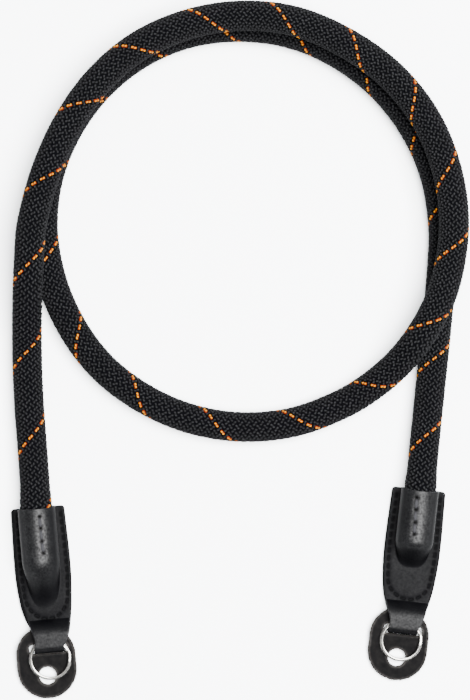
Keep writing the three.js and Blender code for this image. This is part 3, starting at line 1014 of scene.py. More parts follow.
@dataclass
class StrapEnd:
    """One end of the strap: the folded leather, its stitching, its split ring and its pad.

    Lengths are in millimetres in the end's own frame, as in the part's source.
    """

    name: str
    pocket: Pocket
    dome_tail: float
    flat_length: float
    front_inset: dict[Side, float]
    neck_shift: float
    ring_shift: float
    ring_split: float
    pad_shift: float
    pad_tongue: float
    seam_inset: float
    seam_bend: float
    seam_bottom: float
    centre_seam: tuple[tuple[float, float], ...]
    seed: int
    clearance: float = 0.3
    rope_radius: float = 5.15
    leather: float = 1.2
    layer_gap: float = 0.15
    flange_width: float = 2.75
    shoulder_swell: float = 0.45
    back_overhang: float = 0.4
    mouth_corner: float = 1.2
    foot_radius: float = 1.2
    tail_rounding: float = 0.96
    bridge_room: float = 2.0
    fold_corner: float = 1.9
    ring_radius: float = 7.55
    wire_width: float = 1.05
    wire_height: float = 0.72
    coil_gap: float = 0.1
    step_start: float = 328.0
    step_end: float = 358.0
    pad_thickness: float = 1.8
    pad_rim: float = 3.55
    bridge_width: float = 6.3
    slot_width: float = 3.4
    slot_end_room: float = 3.4
    slot_offset: float = 1.0
    neck_side_room: float = 1.3
    hole_diameter: float = 6.3
    hole_inset: float = 8.1
    stitch_pitch: float = 2.8
    stitch_length: float = 2.0
    thread: float = 0.46
    under_coil: float = 0.22
    edge_bevel: float = 0.22
    edge_wander: float = 0.09
    fill_step: float = 0.55
    fill_room: float = 0.4
    fibre_thickness: float = 0.035
    # The heights over which the painted sheen grows from faint to full.
    dull_below: float = 4.0
    bright_above: float = 9.0
    trough: Dent = Dent(0.08, 0.9)
    stitch_bed: Dent = Dent(0.16, 0.72)
    ditch: Dent = Dent(0.13, 0.8)
    centre_hole: Dent = Dent(0.22, 0.85)

    def __post_init__(self) -> None:
        """Works out the sizes that follow from the others, as the part's source does."""
        inside = self.pocket.inside / MM
        self.inside = inside
        ring_inner = self.ring_radius - self.wire_width
        self.ring_height = 2 * self.wire_height + self.coil_gap
        self.neck_width = 2 * (ring_inner - self.neck_side_room)
        self.slot_length = self.neck_width + self.slot_end_room
        self.pad_radius = self.slot_length / 2 + self.pad_rim
        self.flange_height = self.leather * 1.5 + self.layer_gap
        self.bridge_bottom = self.leather + self.clearance
        self.bridge_top = self.bridge_bottom + self.pad_thickness
        self.dome_radius = self.rope_radius + self.clearance + self.leather / 2
        pocket_height = self.leather + self.clearance + self.rope_radius
        self.dome_rise = pocket_height + self.dome_radius - self.flange_height
        arcs = self.dome_radius + self.foot_radius
        self.dome_foot = math.sqrt(arcs**2 - (self.dome_rise - arcs) ** 2)
        self.shoulder_width = 2 * (self.dome_foot + self.flange_width + self.shoulder_swell)
        self.dome_end = inside + self.dome_tail
        self.stitched = self.dome_end + self.flat_length
        self.pad_top = self.stitched + self.bridge_room
        self.slot_top = self.pad_top + self.bridge_width
        self.slot_bottom = self.slot_top + self.slot_width
        self.fold_reach = self.slot_bottom - self.clearance
        drop = math.sqrt(ring_inner**2 - (self.neck_width / 2) ** 2)
        self.ring_centre = self.fold_reach - self.leather - self.clearance + drop
        self.ring_top = self.ring_centre - self.ring_radius
        self.ring_bottom = self.ring_centre + self.ring_radius
        self.pad_bottom = self.slot_bottom + self.pad_tongue
        self.slope = self.bridge_bottom / (self.ring_bottom - self.slot_top)
        ring_lift = self.slope * (self.slot_top - self.ring_top)
        above = ring_lift + self.ring_height + 2 * self.clearance + self.leather / 2
        self.neck_height = self.bridge_top + above

    def to_frame(self, points: Array) -> Array:
        """Points in the end's own millimetres (u, v, w), as metres in the part's frame.

        They are turned by the end's lean about its mouth, and moved there.
        """
        u, v, w = points[..., 0] * MM, points[..., 1] * MM, points[..., 2] * MM
        x, y = turned(u, -v, math.radians(self.pocket.lean))
        return np.stack([self.pocket.x + x, self.pocket.y + y, w], axis=-1)

    def spine(self) -> tuple[Array, Array]:
        """The folded strip's middle in side view: level, up, along the neck, round, and back.

        Straight runs, one cubic Bezier curve up from the flange to the neck, and two quarter
        circles at the fold.

        Returns:
            Distances along the strip, and points as (v, w).
        """
        wall = self.fold_reach - self.leather / 2
        corner = wall - self.fold_corner
        low, high = self.leather / 2, self.neck_height
        start = np.array([self.stitched, self.flange_height])
        end = np.array([self.ring_top, high])
        pull = np.array([start[0] + self.bridge_room / 3, start[1]])
        push = np.array([self.pad_top - self.clearance, end[1]])
        t = np.linspace(0, 1, 200)[:, None]
        rise = (
            (1 - t) ** 3 * start + 3 * (1 - t) ** 2 * t * pull
            + 3 * (1 - t) * t**2 * push + t**3 * end
        )
        angle = np.linspace(np.pi / 2, 0, 60)
        upper = np.stack([
            corner + self.fold_corner * np.cos(angle),
            high - self.fold_corner + self.fold_corner * np.sin(angle),
        ], axis=1)
        lower = np.stack([
            corner + self.fold_corner * np.cos(-angle[::-1]),
            low + self.fold_corner - self.fold_corner * np.sin(angle[::-1]),
        ], axis=1)
        points = np.concatenate([
            [(0.0, self.flange_height)], rise, upper, lower, [(0.0, low)],
        ])
        keep = np.concatenate([[True], np.any(np.diff(points, axis=0) != 0, axis=1)])
        points = points[keep]
        return lengths_along(points), points

    def side_width(self, from_mouth: Array, back: Array, side: Side) -> Array:
        """The strip's width from its middle to one side, on its front or back layer."""
        along = from_mouth / self.fold_reach
        spread = (self.shoulder_width - self.neck_width) / 2
        standout = np.where(back, self.back_overhang, -self.front_inset[side])
        shortfall = np.clip(self.mouth_corner - from_mouth, 0, None)
        corner = self.mouth_corner - np.sqrt(self.mouth_corner**2 - shortfall**2)
        width = self.neck_width / 2 + spread * look_up(Share.WIDTH, along)
        return width + standout * look_up(Share.OVERHANG, along) - corner

    def shift_at(self, from_mouth: Array) -> Array:
        """How far the strip's middle lies to the right, at a distance from the mouth."""
        along = from_mouth / self.fold_reach
        neck = self.neck_shift * look_up(Share.SHIFT, along)
        return neck + self.ring_shift * look_up(Share.RING, along)

    def dome_at(self, from_mouth: Array) -> tuple[Array, Array]:
        """How high the dome stands and how wide its foot is, at distances from the mouth."""
        tail = np.clip((from_mouth - self.inside) / self.dome_tail, 0, 1)
        rise = self.dome_rise * (1 - smooth_step(tail, 0.0, 1.0))
        foot = self.dome_foot * np.sqrt(1 - self.tail_rounding * tail**3)
        return np.maximum(rise, 0.01), foot

    def dome_turn(self, rise: Array, foot: Array) -> tuple[Array, Array]:
        """The radius of the dome's arc, and the angle that it turns through to its foot."""
        radius = (foot**2 + rise**2) / (2 * rise) - self.foot_radius
        return radius, np.pi / 2 + np.arctan2(rise - radius - self.foot_radius, foot)

    def across_section(self, rise: Array, foot: Array, distance: Array) -> tuple[Array, Array]:
        """A point across a layer: on the dome, then its hollow foot, then flat leather.

        The dome is an arc from the top; the foot is an arc of the foot's radius that turns
        back by the same angle; what is left is straight.

        Args:
            rise: how far the dome stands above the flat leather.
            foot: how far from its middle it meets the flat leather.
            distance: the distance across from the middle, along the leather, with a sign.

        Returns:
            The sideways place and the height above the flat leather.
        """
        radius, turn = self.dome_turn(rise, foot)
        dome_length = radius * turn
        foot_length = self.foot_radius * turn
        far = np.abs(distance)
        top = far / radius
        low = np.clip(turn - (far - dome_length) / self.foot_radius, 0, None)
        on_dome = far < dome_length
        on_foot = far < dome_length + foot_length
        flat = foot + far - dome_length - foot_length
        u = np.where(on_foot, foot - self.foot_radius * np.sin(low), flat)
        w = np.where(on_foot, self.foot_radius * (1 - np.cos(low)), 0.0)
        u = np.where(on_dome, radius * np.sin(top), u)
        w = np.where(on_dome, rise - radius * (1 - np.cos(top)), w)
        return u * np.sign(distance), w

    def across_length(self, rise: Array, foot: Array, half: Array) -> Array:
        """Half the leather's width measured along it, over the dome."""
        radius, turn = self.dome_turn(rise, foot)
        return (radius + self.foot_radius) * turn + half - foot

    def strip_grid(self, distance: Array, from_edge: Array) -> tuple[Array, Array, Array]:
        """The strip's middle surface.

        Args:
            distance: rows, along the strip from the front mouth to the back one.
            from_edge: columns, as distances in from the near edge: first those of the right
                half from its edge to the middle, with the left half their mirror image.

        Returns:
            The points (row, column, uvw), the normals out of the outer face, and how far
            each point is from the nearest side edge.
        """
        reach, line = self.spine()
        v = np.interp(distance, reach, line[:, 0])
        w = np.interp(distance, reach, line[:, 1])
        back = distance > reach[-1] / 2
        rise, foot = self.dome_at(np.where(back, self.fold_reach, v))
        share = np.linspace(0, 1, 34)[None, 1:]
        edge = np.repeat(from_edge[None, :], len(v), axis=0)
        sides = {}
        for side in Side:
            whole = self.across_length(rise, foot, self.side_width(v, back, side))[:, None]
            rest = edge[:, -1:] + (whole - edge[:, -1:]) * share
            inward = np.concatenate([edge, rest], axis=1)
            place = side.value * (whole - inward)
            u, lifted = self.across_section(rise[:, None], foot[:, None], place)
            sides[side] = np.stack([u, lifted, inward], axis=-1)
        section = np.concatenate([sides[Side.RIGHT], sides[Side.LEFT][:, -2::-1]], axis=1)
        points = np.stack([
            section[..., 0] + self.shift_at(v)[:, None],
            np.broadcast_to(v[:, None], section.shape[:2]),
            w[:, None] + section[..., 1],
        ], axis=-1)
        along = np.gradient(points, distance, axis=0)
        sideways = np.gradient(points, axis=1)
        normals = unit(np.cross(along, sideways))
        return points, normals, section[..., 2]

    def seam_line(self) -> Array:
        """The line of the long seam, seen from above: down one side, across, and up the other.

        It keeps a steady distance in from the front edge, and its bottom is half an ellipse
        as wide as the seam is there.

        Returns:
            Points (u, v), close together.
        """
        start = self.seam_bottom - self.seam_bend
        v = np.linspace(1.6, start, 300)
        angle = np.linspace(0, np.pi / 2, 60)[1:]
        runs = []
        for side in Side:
            front = np.zeros(len(v), bool)
            half = side.value * (self.side_width(v, front, side) - self.seam_inset)
            bend_u = half[-1] * np.cos(angle)
            bend_v = start + self.seam_bend * np.sin(angle)
            u = np.concatenate([half, bend_u]) + self.shift_at(np.concatenate([v, bend_v]))
            runs.append(np.stack([u, np.concatenate([v, bend_v])], axis=1))
        left, right = runs
        return np.concatenate([right, left[-2::-1]])

    def seam_marks(self) -> tuple[Array, Array]:
        """The long seam's stitches, spread evenly from one end of it to the other.

        Returns:
            The stitches' middles (u, v), and their directions.
        """
        line = self.seam_line()
        reach = lengths_along(line)
        count = int(round(reach[-1] / self.stitch_pitch))
        middle = (np.arange(count) + 0.5) * reach[-1] / count
        ahead = follow(middle + 0.6, reach, line) - follow(middle - 0.6, reach, line)
        return follow(middle, reach, line), unit(ahead)

    def nearest(self, points: Array, targets: Array) -> Array:
        """The distance from each point, seen from above, to the nearest of the targets."""
        flat = points[..., :2].reshape(-1, 2)
        gaps = np.linalg.norm(flat[:, None, :] - targets[None, :, :], axis=-1)
        return gaps.min(axis=1).reshape(points.shape[:-1])

    def make_leather(self, material: bpy.types.Material) -> bpy.types.Object:
        """The folded leather: an outer and an inner face that meet in rounded edges.

        Each face is the strip's middle surface moved half the thickness along its normal.
        The thickness falls to nothing at the edge by the fourth root of 1 less the fourth
        power of the share left. Seams press a shallow trough of bell shape into the outer
        face, and each hole a deeper one, which also gets painted shade. The painted sheen, a
        coat placed as a highlight, rises with how far the face looks up and how high it
        stands, and fades at the long seam.
        """
        reach, _ = self.spine()
        round_edge = 0.42
        near = np.array([0, 0.015, 0.06, 0.15, 0.28, 0.42])
        body = np.linspace(near[-1], reach[-1] - near[-1], 330)
        distance = np.concatenate([near[:-1], body, reach[-1] - near[-2::-1]])
        points, normals, from_side = self.strip_grid(distance, near)
        from_end = np.minimum(distance, reach[-1] - distance)[:, None]

        def fullness(gap: Array) -> Array:
            """The share of full thickness at a gap from an edge."""
            left = 1 - np.clip(gap / round_edge, 0, 1)
            return (1 - left**4) ** 0.25

        half = self.leather / 2 * fullness(from_side) * fullness(from_end)
        middles, ways = self.seam_marks()
        beds = np.concatenate([middles - 0.5 * ways, middles, middles + 0.5 * ways])
        front = (distance < reach[-1] / 2)[:, None] * np.ones(points.shape[1])[None]
        line_gap = self.nearest(points, self.seam_line()[::6])
        bed_gap = self.nearest(points, beds)
        centre = np.array(self.centre_seam)
        centre_gap = self.nearest(points, centre)
        off_centre = points[..., 0] - np.interp(points[..., 1], centre[:, 1], centre[:, 0])
        on_centre = (points[..., 1] > centre[0, 1]) & (points[..., 1] < centre[-1, 1])
        sunk = self.trough.at(line_gap) + self.stitch_bed.at(bed_gap)
        sunk += front * (on_centre * self.ditch.at(off_centre) + self.centre_hole.at(centre_gap))
        outer = points + normals * (half - sunk * np.minimum(half / 0.6, 1))[..., None]
        inner = points - normals * half[..., None]
        rows, columns = points.shape[:2]
        outside = np.arange(rows * columns).reshape(rows, columns)
        inside = outside + rows * columns
        rim = np.zeros((rows, columns), bool)
        rim[[0, -1], :] = True
        rim[:, [0, -1]] = True
        inside[rim] = outside[rim]
        quads = np.concatenate([grid_quads(outside), grid_quads(inside)[:, ::-1]])
        used, renumbered = np.unique(quads, return_inverse=True)
        every = np.concatenate([outer.reshape(-1, 3), inner.reshape(-1, 3)])
        # Painted shade in the stitch holes of both seams, kept as the mark pit.
        dark = np.exp(-((bed_gap / 0.6) ** 4)) + front * np.exp(-((centre_gap / 0.75) ** 4))
        edge = np.exp(-((np.minimum(from_side, from_end) / 0.3) ** 2))
        # Painted sheen: a coat placed as a highlight where the face looks up and stands high,
        # fainter near the long seam.
        painted_sheen = smooth_step(normals[..., 2], 0.55, 0.95)
        painted_sheen *= 1 - 0.5 * np.exp(-((line_gap / 1.6) ** 2))
        painted_sheen *= 0.1 + 0.9 * smooth_step(points[..., 2], self.dull_below, self.bright_above)
        pit = np.clip(np.concatenate([dark.ravel(), np.zeros(dark.size)]), 0, 1)
        uv = np.stack([points[..., 0], np.broadcast_to(distance[:, None], front.shape)], axis=-1)
        both_uv = np.concatenate([uv.reshape(-1, 2), uv.reshape(-1, 2)])
        skin = Skin(
            self.to_frame(every[used]),
            renumbered.reshape(-1, 4),
            no_triangles(),
            both_uv[used],
            {
                "edge": np.concatenate([edge.ravel(), edge.ravel()])[used],
                "pit": pit[used],
                "painted_sheen": np.concatenate([painted_sheen.ravel(), np.zeros(painted_sheen.size)])[used],
            },
        )
        return skin.to_object(f"{self.name}_leather", material)

    def thread_run(
        self, middles: Array, ways: Array, heights: Array, length: float, sink: float,
        wear_and_highlight: float = 0.0, breadth: float = 1.0,
    ) -> Skin:
        """Stitches: short bent capsules, each from hole to hole.

        A stitch is a circle carried along a line that bows up in the middle and dives at its
        ends by the fourth power of the share; the circle shrinks to nothing at both ends.

        Args:
            middles: the stitches' middles (u, v).
            ways: their directions, seen from above.
            heights: the leather's height at each.
            length: a stitch's length.
            sink: how deep the stitch's middle line lies under the leather's surface.
            wear_and_highlight: how far the stitches' tops are painted pale, as a painted
                highlight.
            breadth: the thread's thickness, as a share of the long seam's.

        Returns:
            The skin that holds them.
        """
        a = np.linspace(-1, 1, 13)
        b = np.linspace(0, 2 * np.pi, 11)
        girth = self.thread * breadth * np.sqrt(np.clip(1 - np.abs(a) ** 3, 0, 1))
        bow = -sink - 0.3 * a**4
        side = np.stack([ways[:, 1], -ways[:, 0]], axis=1)
        along = a[None, :, None, None] * length / 2 * ways[:, None, None, :]
        out = girth[None, :, None, None] * np.cos(b)[None, None, :, None] * side[:, None, None, :]
        flat = middles[:, None, None, :] + along + out
        up = heights[:, None, None] + bow[None, :, None]
        up = up + 0.7 * girth[None, :, None] * np.sin(b)[None, None, :]
        points = np.concatenate([flat, up[..., None]], axis=-1)
        shape = points.shape[:3]
        uv = np.stack([
            np.broadcast_to(a[None, :, None] * 1.6, shape),
            np.broadcast_to(b[None, None, :] / (2 * np.pi), shape),
        ], axis=-1)
        # Painted highlight on the stitches' middles.
        lit = np.full(shape, wear_and_highlight) * np.clip(1.2 - a**2, 0, 1)[None, :, None]
        return patches_skin(self.to_frame(points), uv, {"lit": lit})

    def make_stitches(self, material: bpy.types.Material) -> bpy.types.Object:
        """The thread of both seams, on the front. The back has only the dents of the long one."""
        at, way = self.seam_marks()
        draw = np.random.default_rng(self.seed)
        slant = np.radians(-13 + draw.uniform(-4, 4, len(at)))
        aslant = np.stack(turned(way[:, 0], way[:, 1], slant), axis=1)
        top = np.full(len(at), self.flange_height + self.leather / 2)
        front = self.thread_run(at, aslant, top, self.stitch_length, 0.34)
        seam = np.array(self.centre_seam)
        middle = (seam[1:] + seam[:-1]) / 2
        ahead = unit(seam[1:] - seam[:-1])
        fall = self.dome_radius - np.sqrt(self.dome_radius**2 - middle[:, 0] ** 2)
        crown = self.flange_height + self.dome_rise - fall + self.leather / 2
        length = float(np.diff(seam[:, 1]).mean()) * 0.84
        # The centre seam on the dome's top gets the painted highlight, 0.9.
        centre = self.thread_run(middle, ahead, crown, length, 0.16, 0.9, 1.3)
        shift = len(front.points)
        skin = Skin(
            np.concatenate([front.points, centre.points]),
            np.concatenate([front.quads, centre.quads + shift]),
            no_triangles(),
            np.concatenate([front.uv, centre.uv]),
            {"lit": np.concatenate([front.marks["lit"], centre.marks["lit"]])},
        )
        return skin.to_object(f"{self.name}_stitches", material)

    def make_ring(self, material: bpy.types.Material) -> bpy.types.Object:
        """The split ring: a flat rounded section carried nearly twice round.

        The wire's middle goes round at a steady radius, and steps down by one wire's height
        between two angles. Its section is a rounded oblong, of the power 2.8. The last bit at
        each end is rounded off.
        """
        degrees = np.linspace(0, 360 + self.step_start, 300)
        ends = np.array([0, 0.6, 1.8])
        degrees = np.concatenate([ends, degrees[1:-1], degrees[-1] - ends[::-1]])
        degrees.sort()
        from_end = np.minimum(degrees, degrees[-1] - degrees)
        girth = 0.72 + 0.28 * np.sqrt(np.clip(from_end / 2.4, 0, 1))
        angle = np.radians(degrees)
        step = smooth_step(degrees, self.step_start, self.step_end)
        level = (self.wire_height + self.coil_gap) * (0.5 - step)
        around = np.linspace(0, 2 * np.pi, 20, endpoint=False)
        power = 2 / 2.8
        cosine, sine = np.cos(around), np.sin(around)
        out = np.sign(cosine) * np.abs(cosine) ** power * self.wire_width / 2
        up = np.sign(sine) * np.abs(sine) ** power * self.wire_height / 2
        middle = self.ring_radius - self.wire_width / 2 - self.under_coil * (1 - step)
        radius = middle[:, None] + out[None] * girth[:, None]
        x = radius * np.cos(angle)[:, None]
        y = radius * np.sin(angle)[:, None]
        z = level[:, None] + up[None] * girth[:, None]
        x, y = turned(x, y, math.radians(self.ring_split))
        y, z = turned(y, z, math.atan(self.slope))
        rest = self.bridge_top + self.clearance
        rest -= self.slope * (self.ring_centre - self.slot_top)
        points = np.stack([
            x + self.ring_shift,
            self.ring_centre - y,
            z + rest + self.ring_height / 2,
        ], axis=-1)
        uv = np.stack(np.broadcast_arrays(angle[:, None], around[None] / (2 * np.pi)), axis=-1)
        skin = tube_skin(self.to_frame(points)[:, ::-1], uv[:, ::-1])
        return skin.to_object(f"{self.name}_ring", material)

    def pad_heights(self, points: Array) -> Array:
        """The pad's underside at points (u, v): level, sloping down past the slot, then flat."""
        corners = [self.slot_top, self.ring_bottom]
        return np.interp(points[..., 1], corners, [self.bridge_bottom, 0.0])

    def closed_line(self, kind: "PadLine", count: int) -> Array:
        """One of the pad's closed outlines, anticlockwise as u right and v up would show it.

        The outline and the slot are two half circles joined by straight sides; the hole is a
        circle. Points lie at even distances.

        Args:
            kind: which outline.
            count: how many points.

        Returns:
            Points (u, v).
        """
        t = np.linspace(0, np.pi, 200)
        if kind is PadLine.SLOT:
            radius = self.slot_width / 2
            half = self.slot_length / 2 - radius
            middle = (self.slot_top + self.slot_bottom) / 2
            far, near = self.slot_offset + half, self.slot_offset - half
            first = np.stack([far + radius * np.sin(t), middle - radius * np.cos(t)], axis=1)
            second = np.stack([near - radius * np.sin(t), middle + radius * np.cos(t)], axis=1)
        else:
            radius = self.pad_radius
            low, high = self.pad_top + radius, self.pad_bottom - radius
            if kind is PadLine.HOLE:
                radius = self.hole_diameter / 2
                low = high = self.pad_bottom - self.hole_inset
            first = np.stack([radius * np.cos(t), high + radius * np.sin(t)], axis=1)
            second = np.stack([-radius * np.cos(t), low - radius * np.sin(t)], axis=1)
        line = np.concatenate([first, second, first[:1]])
        reach = lengths_along(line)
        made = follow(np.linspace(0, reach[-1], count, endpoint=False), reach, line)
        made[:, 0] += self.pad_shift
        return made

    def outwards(self, line: Array, side: float) -> tuple[Array, Array]:
        """The way along a closed outline at its points, and the way off the pad's edge."""
        way = unit(np.roll(line, -1, axis=0) - np.roll(line, 1, axis=0))
        return way, np.stack([way[:, 1], -way[:, 0]], axis=1) * side

    def wander(self, count: int, draw: np.random.Generator) -> Array:
        """Random numbers round a closed outline, smoothed by a bell over a few of them."""
        waves = draw.normal(0, 1, count)
        place = np.arange(count)
        bell = np.exp(-0.5 * (np.minimum(place, count - place) / 1.6) ** 2)
        return np.fft.irfft(np.fft.rfft(waves) * np.fft.rfft(bell / bell.sum()), count)

    def cut_edge(
        self, kind: "PadLine", count: int, start: int, draw: np.random.Generator
    ) -> "CutEdge":
        """The rounded cut edge along one of the pad's outlines.

        Its profile rounds over from the top face by a quarter circle, falls straight, and
        rounds under. The outline wanders a little from side to side.

        Args:
            kind: which outline.
            count: how many points round it.
            start: the number of the edge's first point in the pad's mesh.
            draw: the random numbers.

        Returns:
            The edge.
        """
        bevel = self.edge_bevel
        turn = np.linspace(0, np.pi / 2, 5)
        over, under = bevel * (1 - np.sin(turn)), bevel * (1 - np.cos(turn))
        inset = np.concatenate([over, under])
        depth = np.concatenate([under, self.pad_thickness - over])
        line = self.closed_line(kind, count)
        _, out = self.outwards(line, kind.side)
        rough = self.edge_wander * self.wander(count, draw)
        shifted = line[None] + out[None] * (rough[None, :, None] - inset[:, None, None])
        height = self.pad_heights(shifted) + self.pad_thickness - depth[:, None]
        points = np.concatenate([shifted, height[..., None]], axis=-1)
        numbers = start + np.arange(len(inset) * count).reshape(len(inset), count)
        quads = grid_quads(numbers, wrap_columns=True)
        if kind is not PadLine.OUTLINE:
            quads = quads[:, ::-1]
        return CutEdge(shifted[0], points.reshape(-1, 3), numbers[0], numbers[-1], quads)

    def fill(
        self, lines: list[Array], draw: np.random.Generator
    ) -> tuple[Array, NDArray[np.int64]]:
        """The pad's face seen from above: small triangles between its outlines.

        Args:
            lines: the outlines' points (u, v).
            draw: the random numbers.

        Returns:
            The points inside, and the triangles, whose numbers count the outlines' points
            first and then these.
        """
        rim = np.concatenate(lines)
        u = np.arange(-self.pad_radius, self.pad_radius, self.fill_step)
        v = np.arange(self.pad_top, self.pad_bottom, self.fill_step)
        inner = np.stack(np.meshgrid(u, v, indexing="ij"), axis=-1).reshape(-1, 2)
        inner = inner + draw.uniform(-0.12, 0.12, inner.shape) + np.array([self.pad_shift, 0])
        inner = inner[(self.nearest(inner, rim) > self.fill_room) & self.on_pad(inner)]
        edges, offset = [], 0
        for line in lines:
            number = offset + np.arange(len(line))
            edges.append(np.stack([number, np.roll(number, -1)], axis=1))
            offset += len(line)
        flat = np.concatenate([rim, inner])
        found = delaunay_2d_cdt(flat.tolist(), np.concatenate(edges).tolist(), [], 0, 1e-7)
        flat_out = np.array([tuple(p) for p in found[0]])
        triangles = np.array(found[2], np.int64)
        triangles = triangles[self.on_pad(flat_out[triangles].mean(axis=1))]
        if len(flat_out) != len(flat):
            log.warning("%s pad: the fill added points", self.name)
        a, b, c = (flat_out[triangles[:, k]] for k in range(3))
        ab, ac = b - a, c - a
        area = ab[:, 0] * ac[:, 1] - ab[:, 1] * ac[:, 0]
        return inner, np.where((area > 0)[:, None], triangles[:, ::-1], triangles)

    def make_pad(self, material: bpy.types.Material) -> bpy.types.Object:
        """The ring pad: two faces of small triangles, and a cut edge along each outline."""
        draw = np.random.default_rng(self.seed + 40)
        cuts, start = [], 0
        for kind, count in ((PadLine.OUTLINE, 420), (PadLine.SLOT, 150), (PadLine.HOLE, 130)):
            cuts.append(self.cut_edge(kind, count, start, draw))
            start += len(cuts[-1].points)
        inner, triangles = self.fill([cut.line for cut in cuts], draw)
        low = self.pad_heights(inner)[:, None]
        number = np.arange(len(inner))
        top_numbers = np.concatenate([*(cut.top for cut in cuts), start + number])
        low_numbers = np.concatenate([*(cut.low for cut in cuts), start + len(inner) + number])
        every = np.concatenate([
            *(cut.points for cut in cuts),
            np.concatenate([inner, low + self.pad_thickness], axis=1),
            np.concatenate([inner, low], axis=1),
        ])
        rim = np.concatenate([cut.line for cut in cuts])
        skin = Skin(
            self.to_frame(every),
            np.concatenate([cut.quads for cut in cuts]),
            np.concatenate([top_numbers[triangles], low_numbers[triangles][:, ::-1]]),
            every[:, :2],
            {"edge": np.exp(-((self.nearest(every, rim) / 0.35) ** 2))},
        )
        return skin.to_object(f"{self.name}_pad", material)

    def on_pad(self, points: Array) -> Array:
        """Whether points (u, v) lie on the pad: within its outline, outside slot and hole."""
        u, v = points[:, 0] - self.pad_shift, points[:, 1]
        radius = self.pad_radius
        low, high = self.pad_top + radius, self.pad_bottom - radius
        core = np.hypot(u, v - np.clip(v, low, high)) < radius
        slot_radius = self.slot_width / 2
        half = self.slot_length / 2 - slot_radius
        middle = (self.slot_top + self.slot_bottom) / 2
        past = u - self.slot_offset
        slot = np.hypot(past - np.clip(past, -half, half), v - middle) > slot_radius
        hole = np.hypot(u, v - (self.pad_bottom - self.hole_inset)) > self.hole_diameter / 2
        return core & slot & hole

    def make_fibres(self, material: bpy.types.Material) -> bpy.types.Object:
        """Loose fibres along the pad's cut edges: thin tapered spikes that lie outwards.

        Each spike is a triangle section carried along a short bent line, narrowing to a point.
        """
        draw = np.random.default_rng(self.seed + 80)
        parts = []
        for kind, count in ((PadLine.OUTLINE, 900), (PadLine.SLOT, 160), (PadLine.HOLE, 170)):
            line = self.closed_line(kind, count)
            way, out = self.outwards(line, kind.side)
            angle = draw.normal(0, 0.7, count)
            lean = out * np.cos(angle)[:, None] + way * np.sin(angle)[:, None]
            length = draw.gamma(2.0, 0.19, count)
            start = line - out * 0.25
            up = draw.uniform(0.15, 0.95, count) * self.pad_thickness
            t = np.linspace(0, 1, 4)
            bend = draw.normal(0, 0.35, (count, 1)) * t[None] ** 2
            stride = t[None, :, None] * (0.25 + length[:, None, None])
            path = start[:, None] + lean[:, None] * stride
            path = path + way[:, None] * (bend * length[:, None])[..., None]
            rise = up[:, None] + draw.normal(0, 0.25, (count, 1)) * t[None] * length[:, None]
            w = np.clip(self.pad_heights(path) + rise, 0.03, None)
            girth = self.fibre_thickness * (1 - t) ** 0.7 + 0.002
            around = np.linspace(0, 2 * np.pi, 4)
            wide = girth[None, :, None] * np.cos(around)[None, None]
            tall = girth[None, :, None] * np.sin(around)[None, None]
            across = np.stack([-lean[:, 1], lean[:, 0]], axis=1)
            flat = path[:, :, None, :] + across[:, None, None, :] * wide[..., None]
            height = w[:, :, None] + tall
            parts.append(np.concatenate([flat, height[..., None]], axis=-1))
        points = np.concatenate(parts)
        uv = np.zeros(points.shape[:3] + (2,))
        marks = {"edge": np.full(points.shape[:3], 0.8)}
        skin = patches_skin(self.to_frame(points), uv, marks)
        return skin.to_object(f"{self.name}_pad_fibres", material)

    def build(self, looks: "EndLooks") -> None:
        """Makes and dresses every piece of this end."""
        dress(self.make_leather(looks.leather), "leather", f"{self.name}_leather_end")
        dress(self.make_stitches(looks.thread), "leather")
        dress(self.make_ring(looks.steel), "ring", f"{self.name}_split_ring")
        dress(self.make_pad(looks.suede), "pad", f"{self.name}_ring_pad")
        dress(self.make_fibres(looks.suede), "pad")


class PadLine(Enum):
    """One of the ring pad's closed outlines."""

    OUTLINE = 1
    SLOT = 2
    HOLE = 3

    @property
    def side(self) -> float:
        """1 where the pad lies inside the outline, and -1 where it lies outside."""
        return 1.0 if self is PadLine.OUTLINE else -1.0


@dataclass
class CutEdge:
    """One cut edge of the ring pad.

    Args:
        line: the points (u, v) where it meets the top face.
        points: all its points (u, v, w).
        top: the numbers of those on the top face.
        low: the numbers of those on the lower face.
        quads: its faces.
    """

    line: Array
    points: Array
    top: NDArray[np.int64]
    low: NDArray[np.int64]
    quads: NDArray[np.int64]


class EndLooks:
    """The finishes that both ends share."""

    def __init__(self) -> None:
        """Makes each of them once."""
        # The last leather colour is painted shade for the stitch holes.
        self.leather = LeatherFinish(
            "black_leather", (0.0006, 0.0006, 0.0008, 1), (0.0022, 0.0022, 0.0025, 1),
            (0.0004, 0.0004, 0.0004, 1),
        ).make()
        # The thread's last colour is a painted highlight.
        self.thread = ThreadFinish(
            "black_thread", (0.0006, 0.0006, 0.0008, 1), (0.003, 0.003, 0.0034, 1),
            (0.022, 0.022, 0.024, 1),
        ).make()
        self.steel = SteelFinish(
            "bright_steel", (0.22, 0.213, 0.20, 1), (0.11, 0.106, 0.10, 1),
        ).make()
        self.suede = SuedeFinish(
            "black_suede", (0.0012, 0.0012, 0.0014, 1), (0.0048, 0.0045, 0.0044, 1),
            (0.022, 0.0205, 0.0195, 1),
        ).make()


# Studio


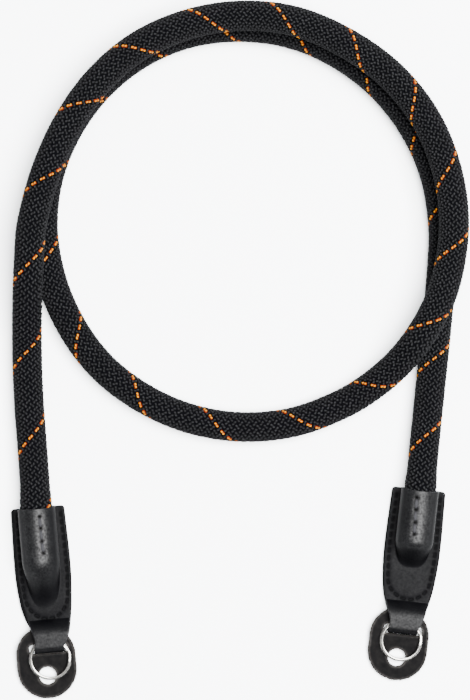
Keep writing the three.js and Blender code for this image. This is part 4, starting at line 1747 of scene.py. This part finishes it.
@dataclass
class Studio:
    """The pale floor, the soft lights, and the camera straight above the strap."""

    camera_x: float = 0.0028
    camera_y: float = 0.08566
    camera_height: float = 1.0
    lens: float = 144.87
    floor_half: float = 3.0

    def make_floor(self) -> None:
        """A flat square under the strap."""
        half = self.floor_half
        corners = np.array([
            (-half, -half, 0.0), (half, -half, 0.0), (half, half, 0.0), (-half, half, 0.0),
        ])
        skin = Skin(
            corners, np.array([(0, 1, 2, 3)]), no_triangles(), corners[:, :2], {},
        )
        finish = FloorFinish("pale_floor", (0.93, 0.945, 0.96, 1)).make()
        skin.to_object("floor", finish)

    def make_light(
        self, name: str, place: tuple[float, float, float], size: float, power: float
    ) -> None:
        """A square soft light that faces the middle of the strap.

        Args:
            name: the light's name.
            place: where it stands.
            size: its side.
            power: its power in watts.
        """
        data = bpy.data.lights.new(name, "AREA")
        data.shape = "SQUARE"
        data.size = size
        data.energy = power
        light = bpy.data.objects.new(name, data)
        bpy.context.scene.collection.objects.link(light)
        light.location = place
        target = np.array([0.0, 0.08, 0.0])
        toward = target - np.array(place)
        yaw = math.atan2(toward[1], toward[0])
        level = math.hypot(toward[0], toward[1])
        light.rotation_euler = (math.atan2(level, -toward[2]), 0.0, yaw - math.pi / 2)

    def make_sky(self, strength: float) -> None:
        """An even pale light from all round."""
        world = bpy.data.worlds.new("sky")
        world.use_nodes = True
        background = world.node_tree.nodes["Background"]
        background.inputs[0].default_value = (0.93, 0.96, 1.0, 1.0)
        background.inputs[1].default_value = strength
        bpy.context.scene.world = world

    def make_camera(self) -> None:
        """The camera, straight above and looking down, with y up in the picture."""
        data = bpy.data.cameras.new("camera")
        data.lens = self.lens
        data.sensor_width = 36.0
        data.clip_start = 0.05
        data.clip_end = 20.0
        camera = bpy.data.objects.new("camera", data)
        camera.location = (self.camera_x, self.camera_y, self.camera_height)
        bpy.context.scene.collection.objects.link(camera)
        bpy.context.scene.camera = camera

    def build(self) -> None:
        """Sets up the camera, the floor and the lights."""
        self.make_camera()
        self.make_floor()
        self.make_light("key", (0.42, 0.18, 1.5), 1.1, 265.0)
        self.make_light("fill", (-0.7, 0.9, 1.7), 1.2, 10.0)
        self.make_sky(0.55)


def main() -> None:
    """Builds the studio, the rope and both ends, in that order."""
    logging.basicConfig(level=logging.INFO, format="%(message)s")
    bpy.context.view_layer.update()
    Studio().build()
    Rope().build()
    looks = EndLooks()
    left = StrapEnd(
        name="left", pocket=LEFT_POCKET, dome_tail=17.5, flat_length=4.0,
        front_inset={Side.LEFT: 0.8, Side.RIGHT: 0.0}, neck_shift=1.1, ring_shift=0.0,
        ring_split=20.0, pad_shift=-1.5, pad_tongue=16.1, seam_inset=1.05, seam_bend=9.4,
        seam_bottom=39.7, centre_seam=((1.35, 2.8), (1.3, 6.9), (1.4, 11.5), (1.55, 15.7)),
        seed=3,
    )
    right = StrapEnd(
        name="right", pocket=RIGHT_POCKET, dome_tail=10.0, flat_length=12.0,
        front_inset={Side.LEFT: 0.1, Side.RIGHT: 0.3}, neck_shift=0.4, ring_shift=-0.42,
        ring_split=25.0, pad_shift=-1.2, pad_tongue=16.5, seam_inset=1.25, seam_bend=7.8,
        seam_bottom=39.2,
        centre_seam=((-1.3, 2.5), (-1.15, 6.8), (-1.0, 11.3), (-0.75, 15.4)), seed=4,
    )
    left.build(looks)
    right.build(looks)


if __name__ == "__main__":
    main()
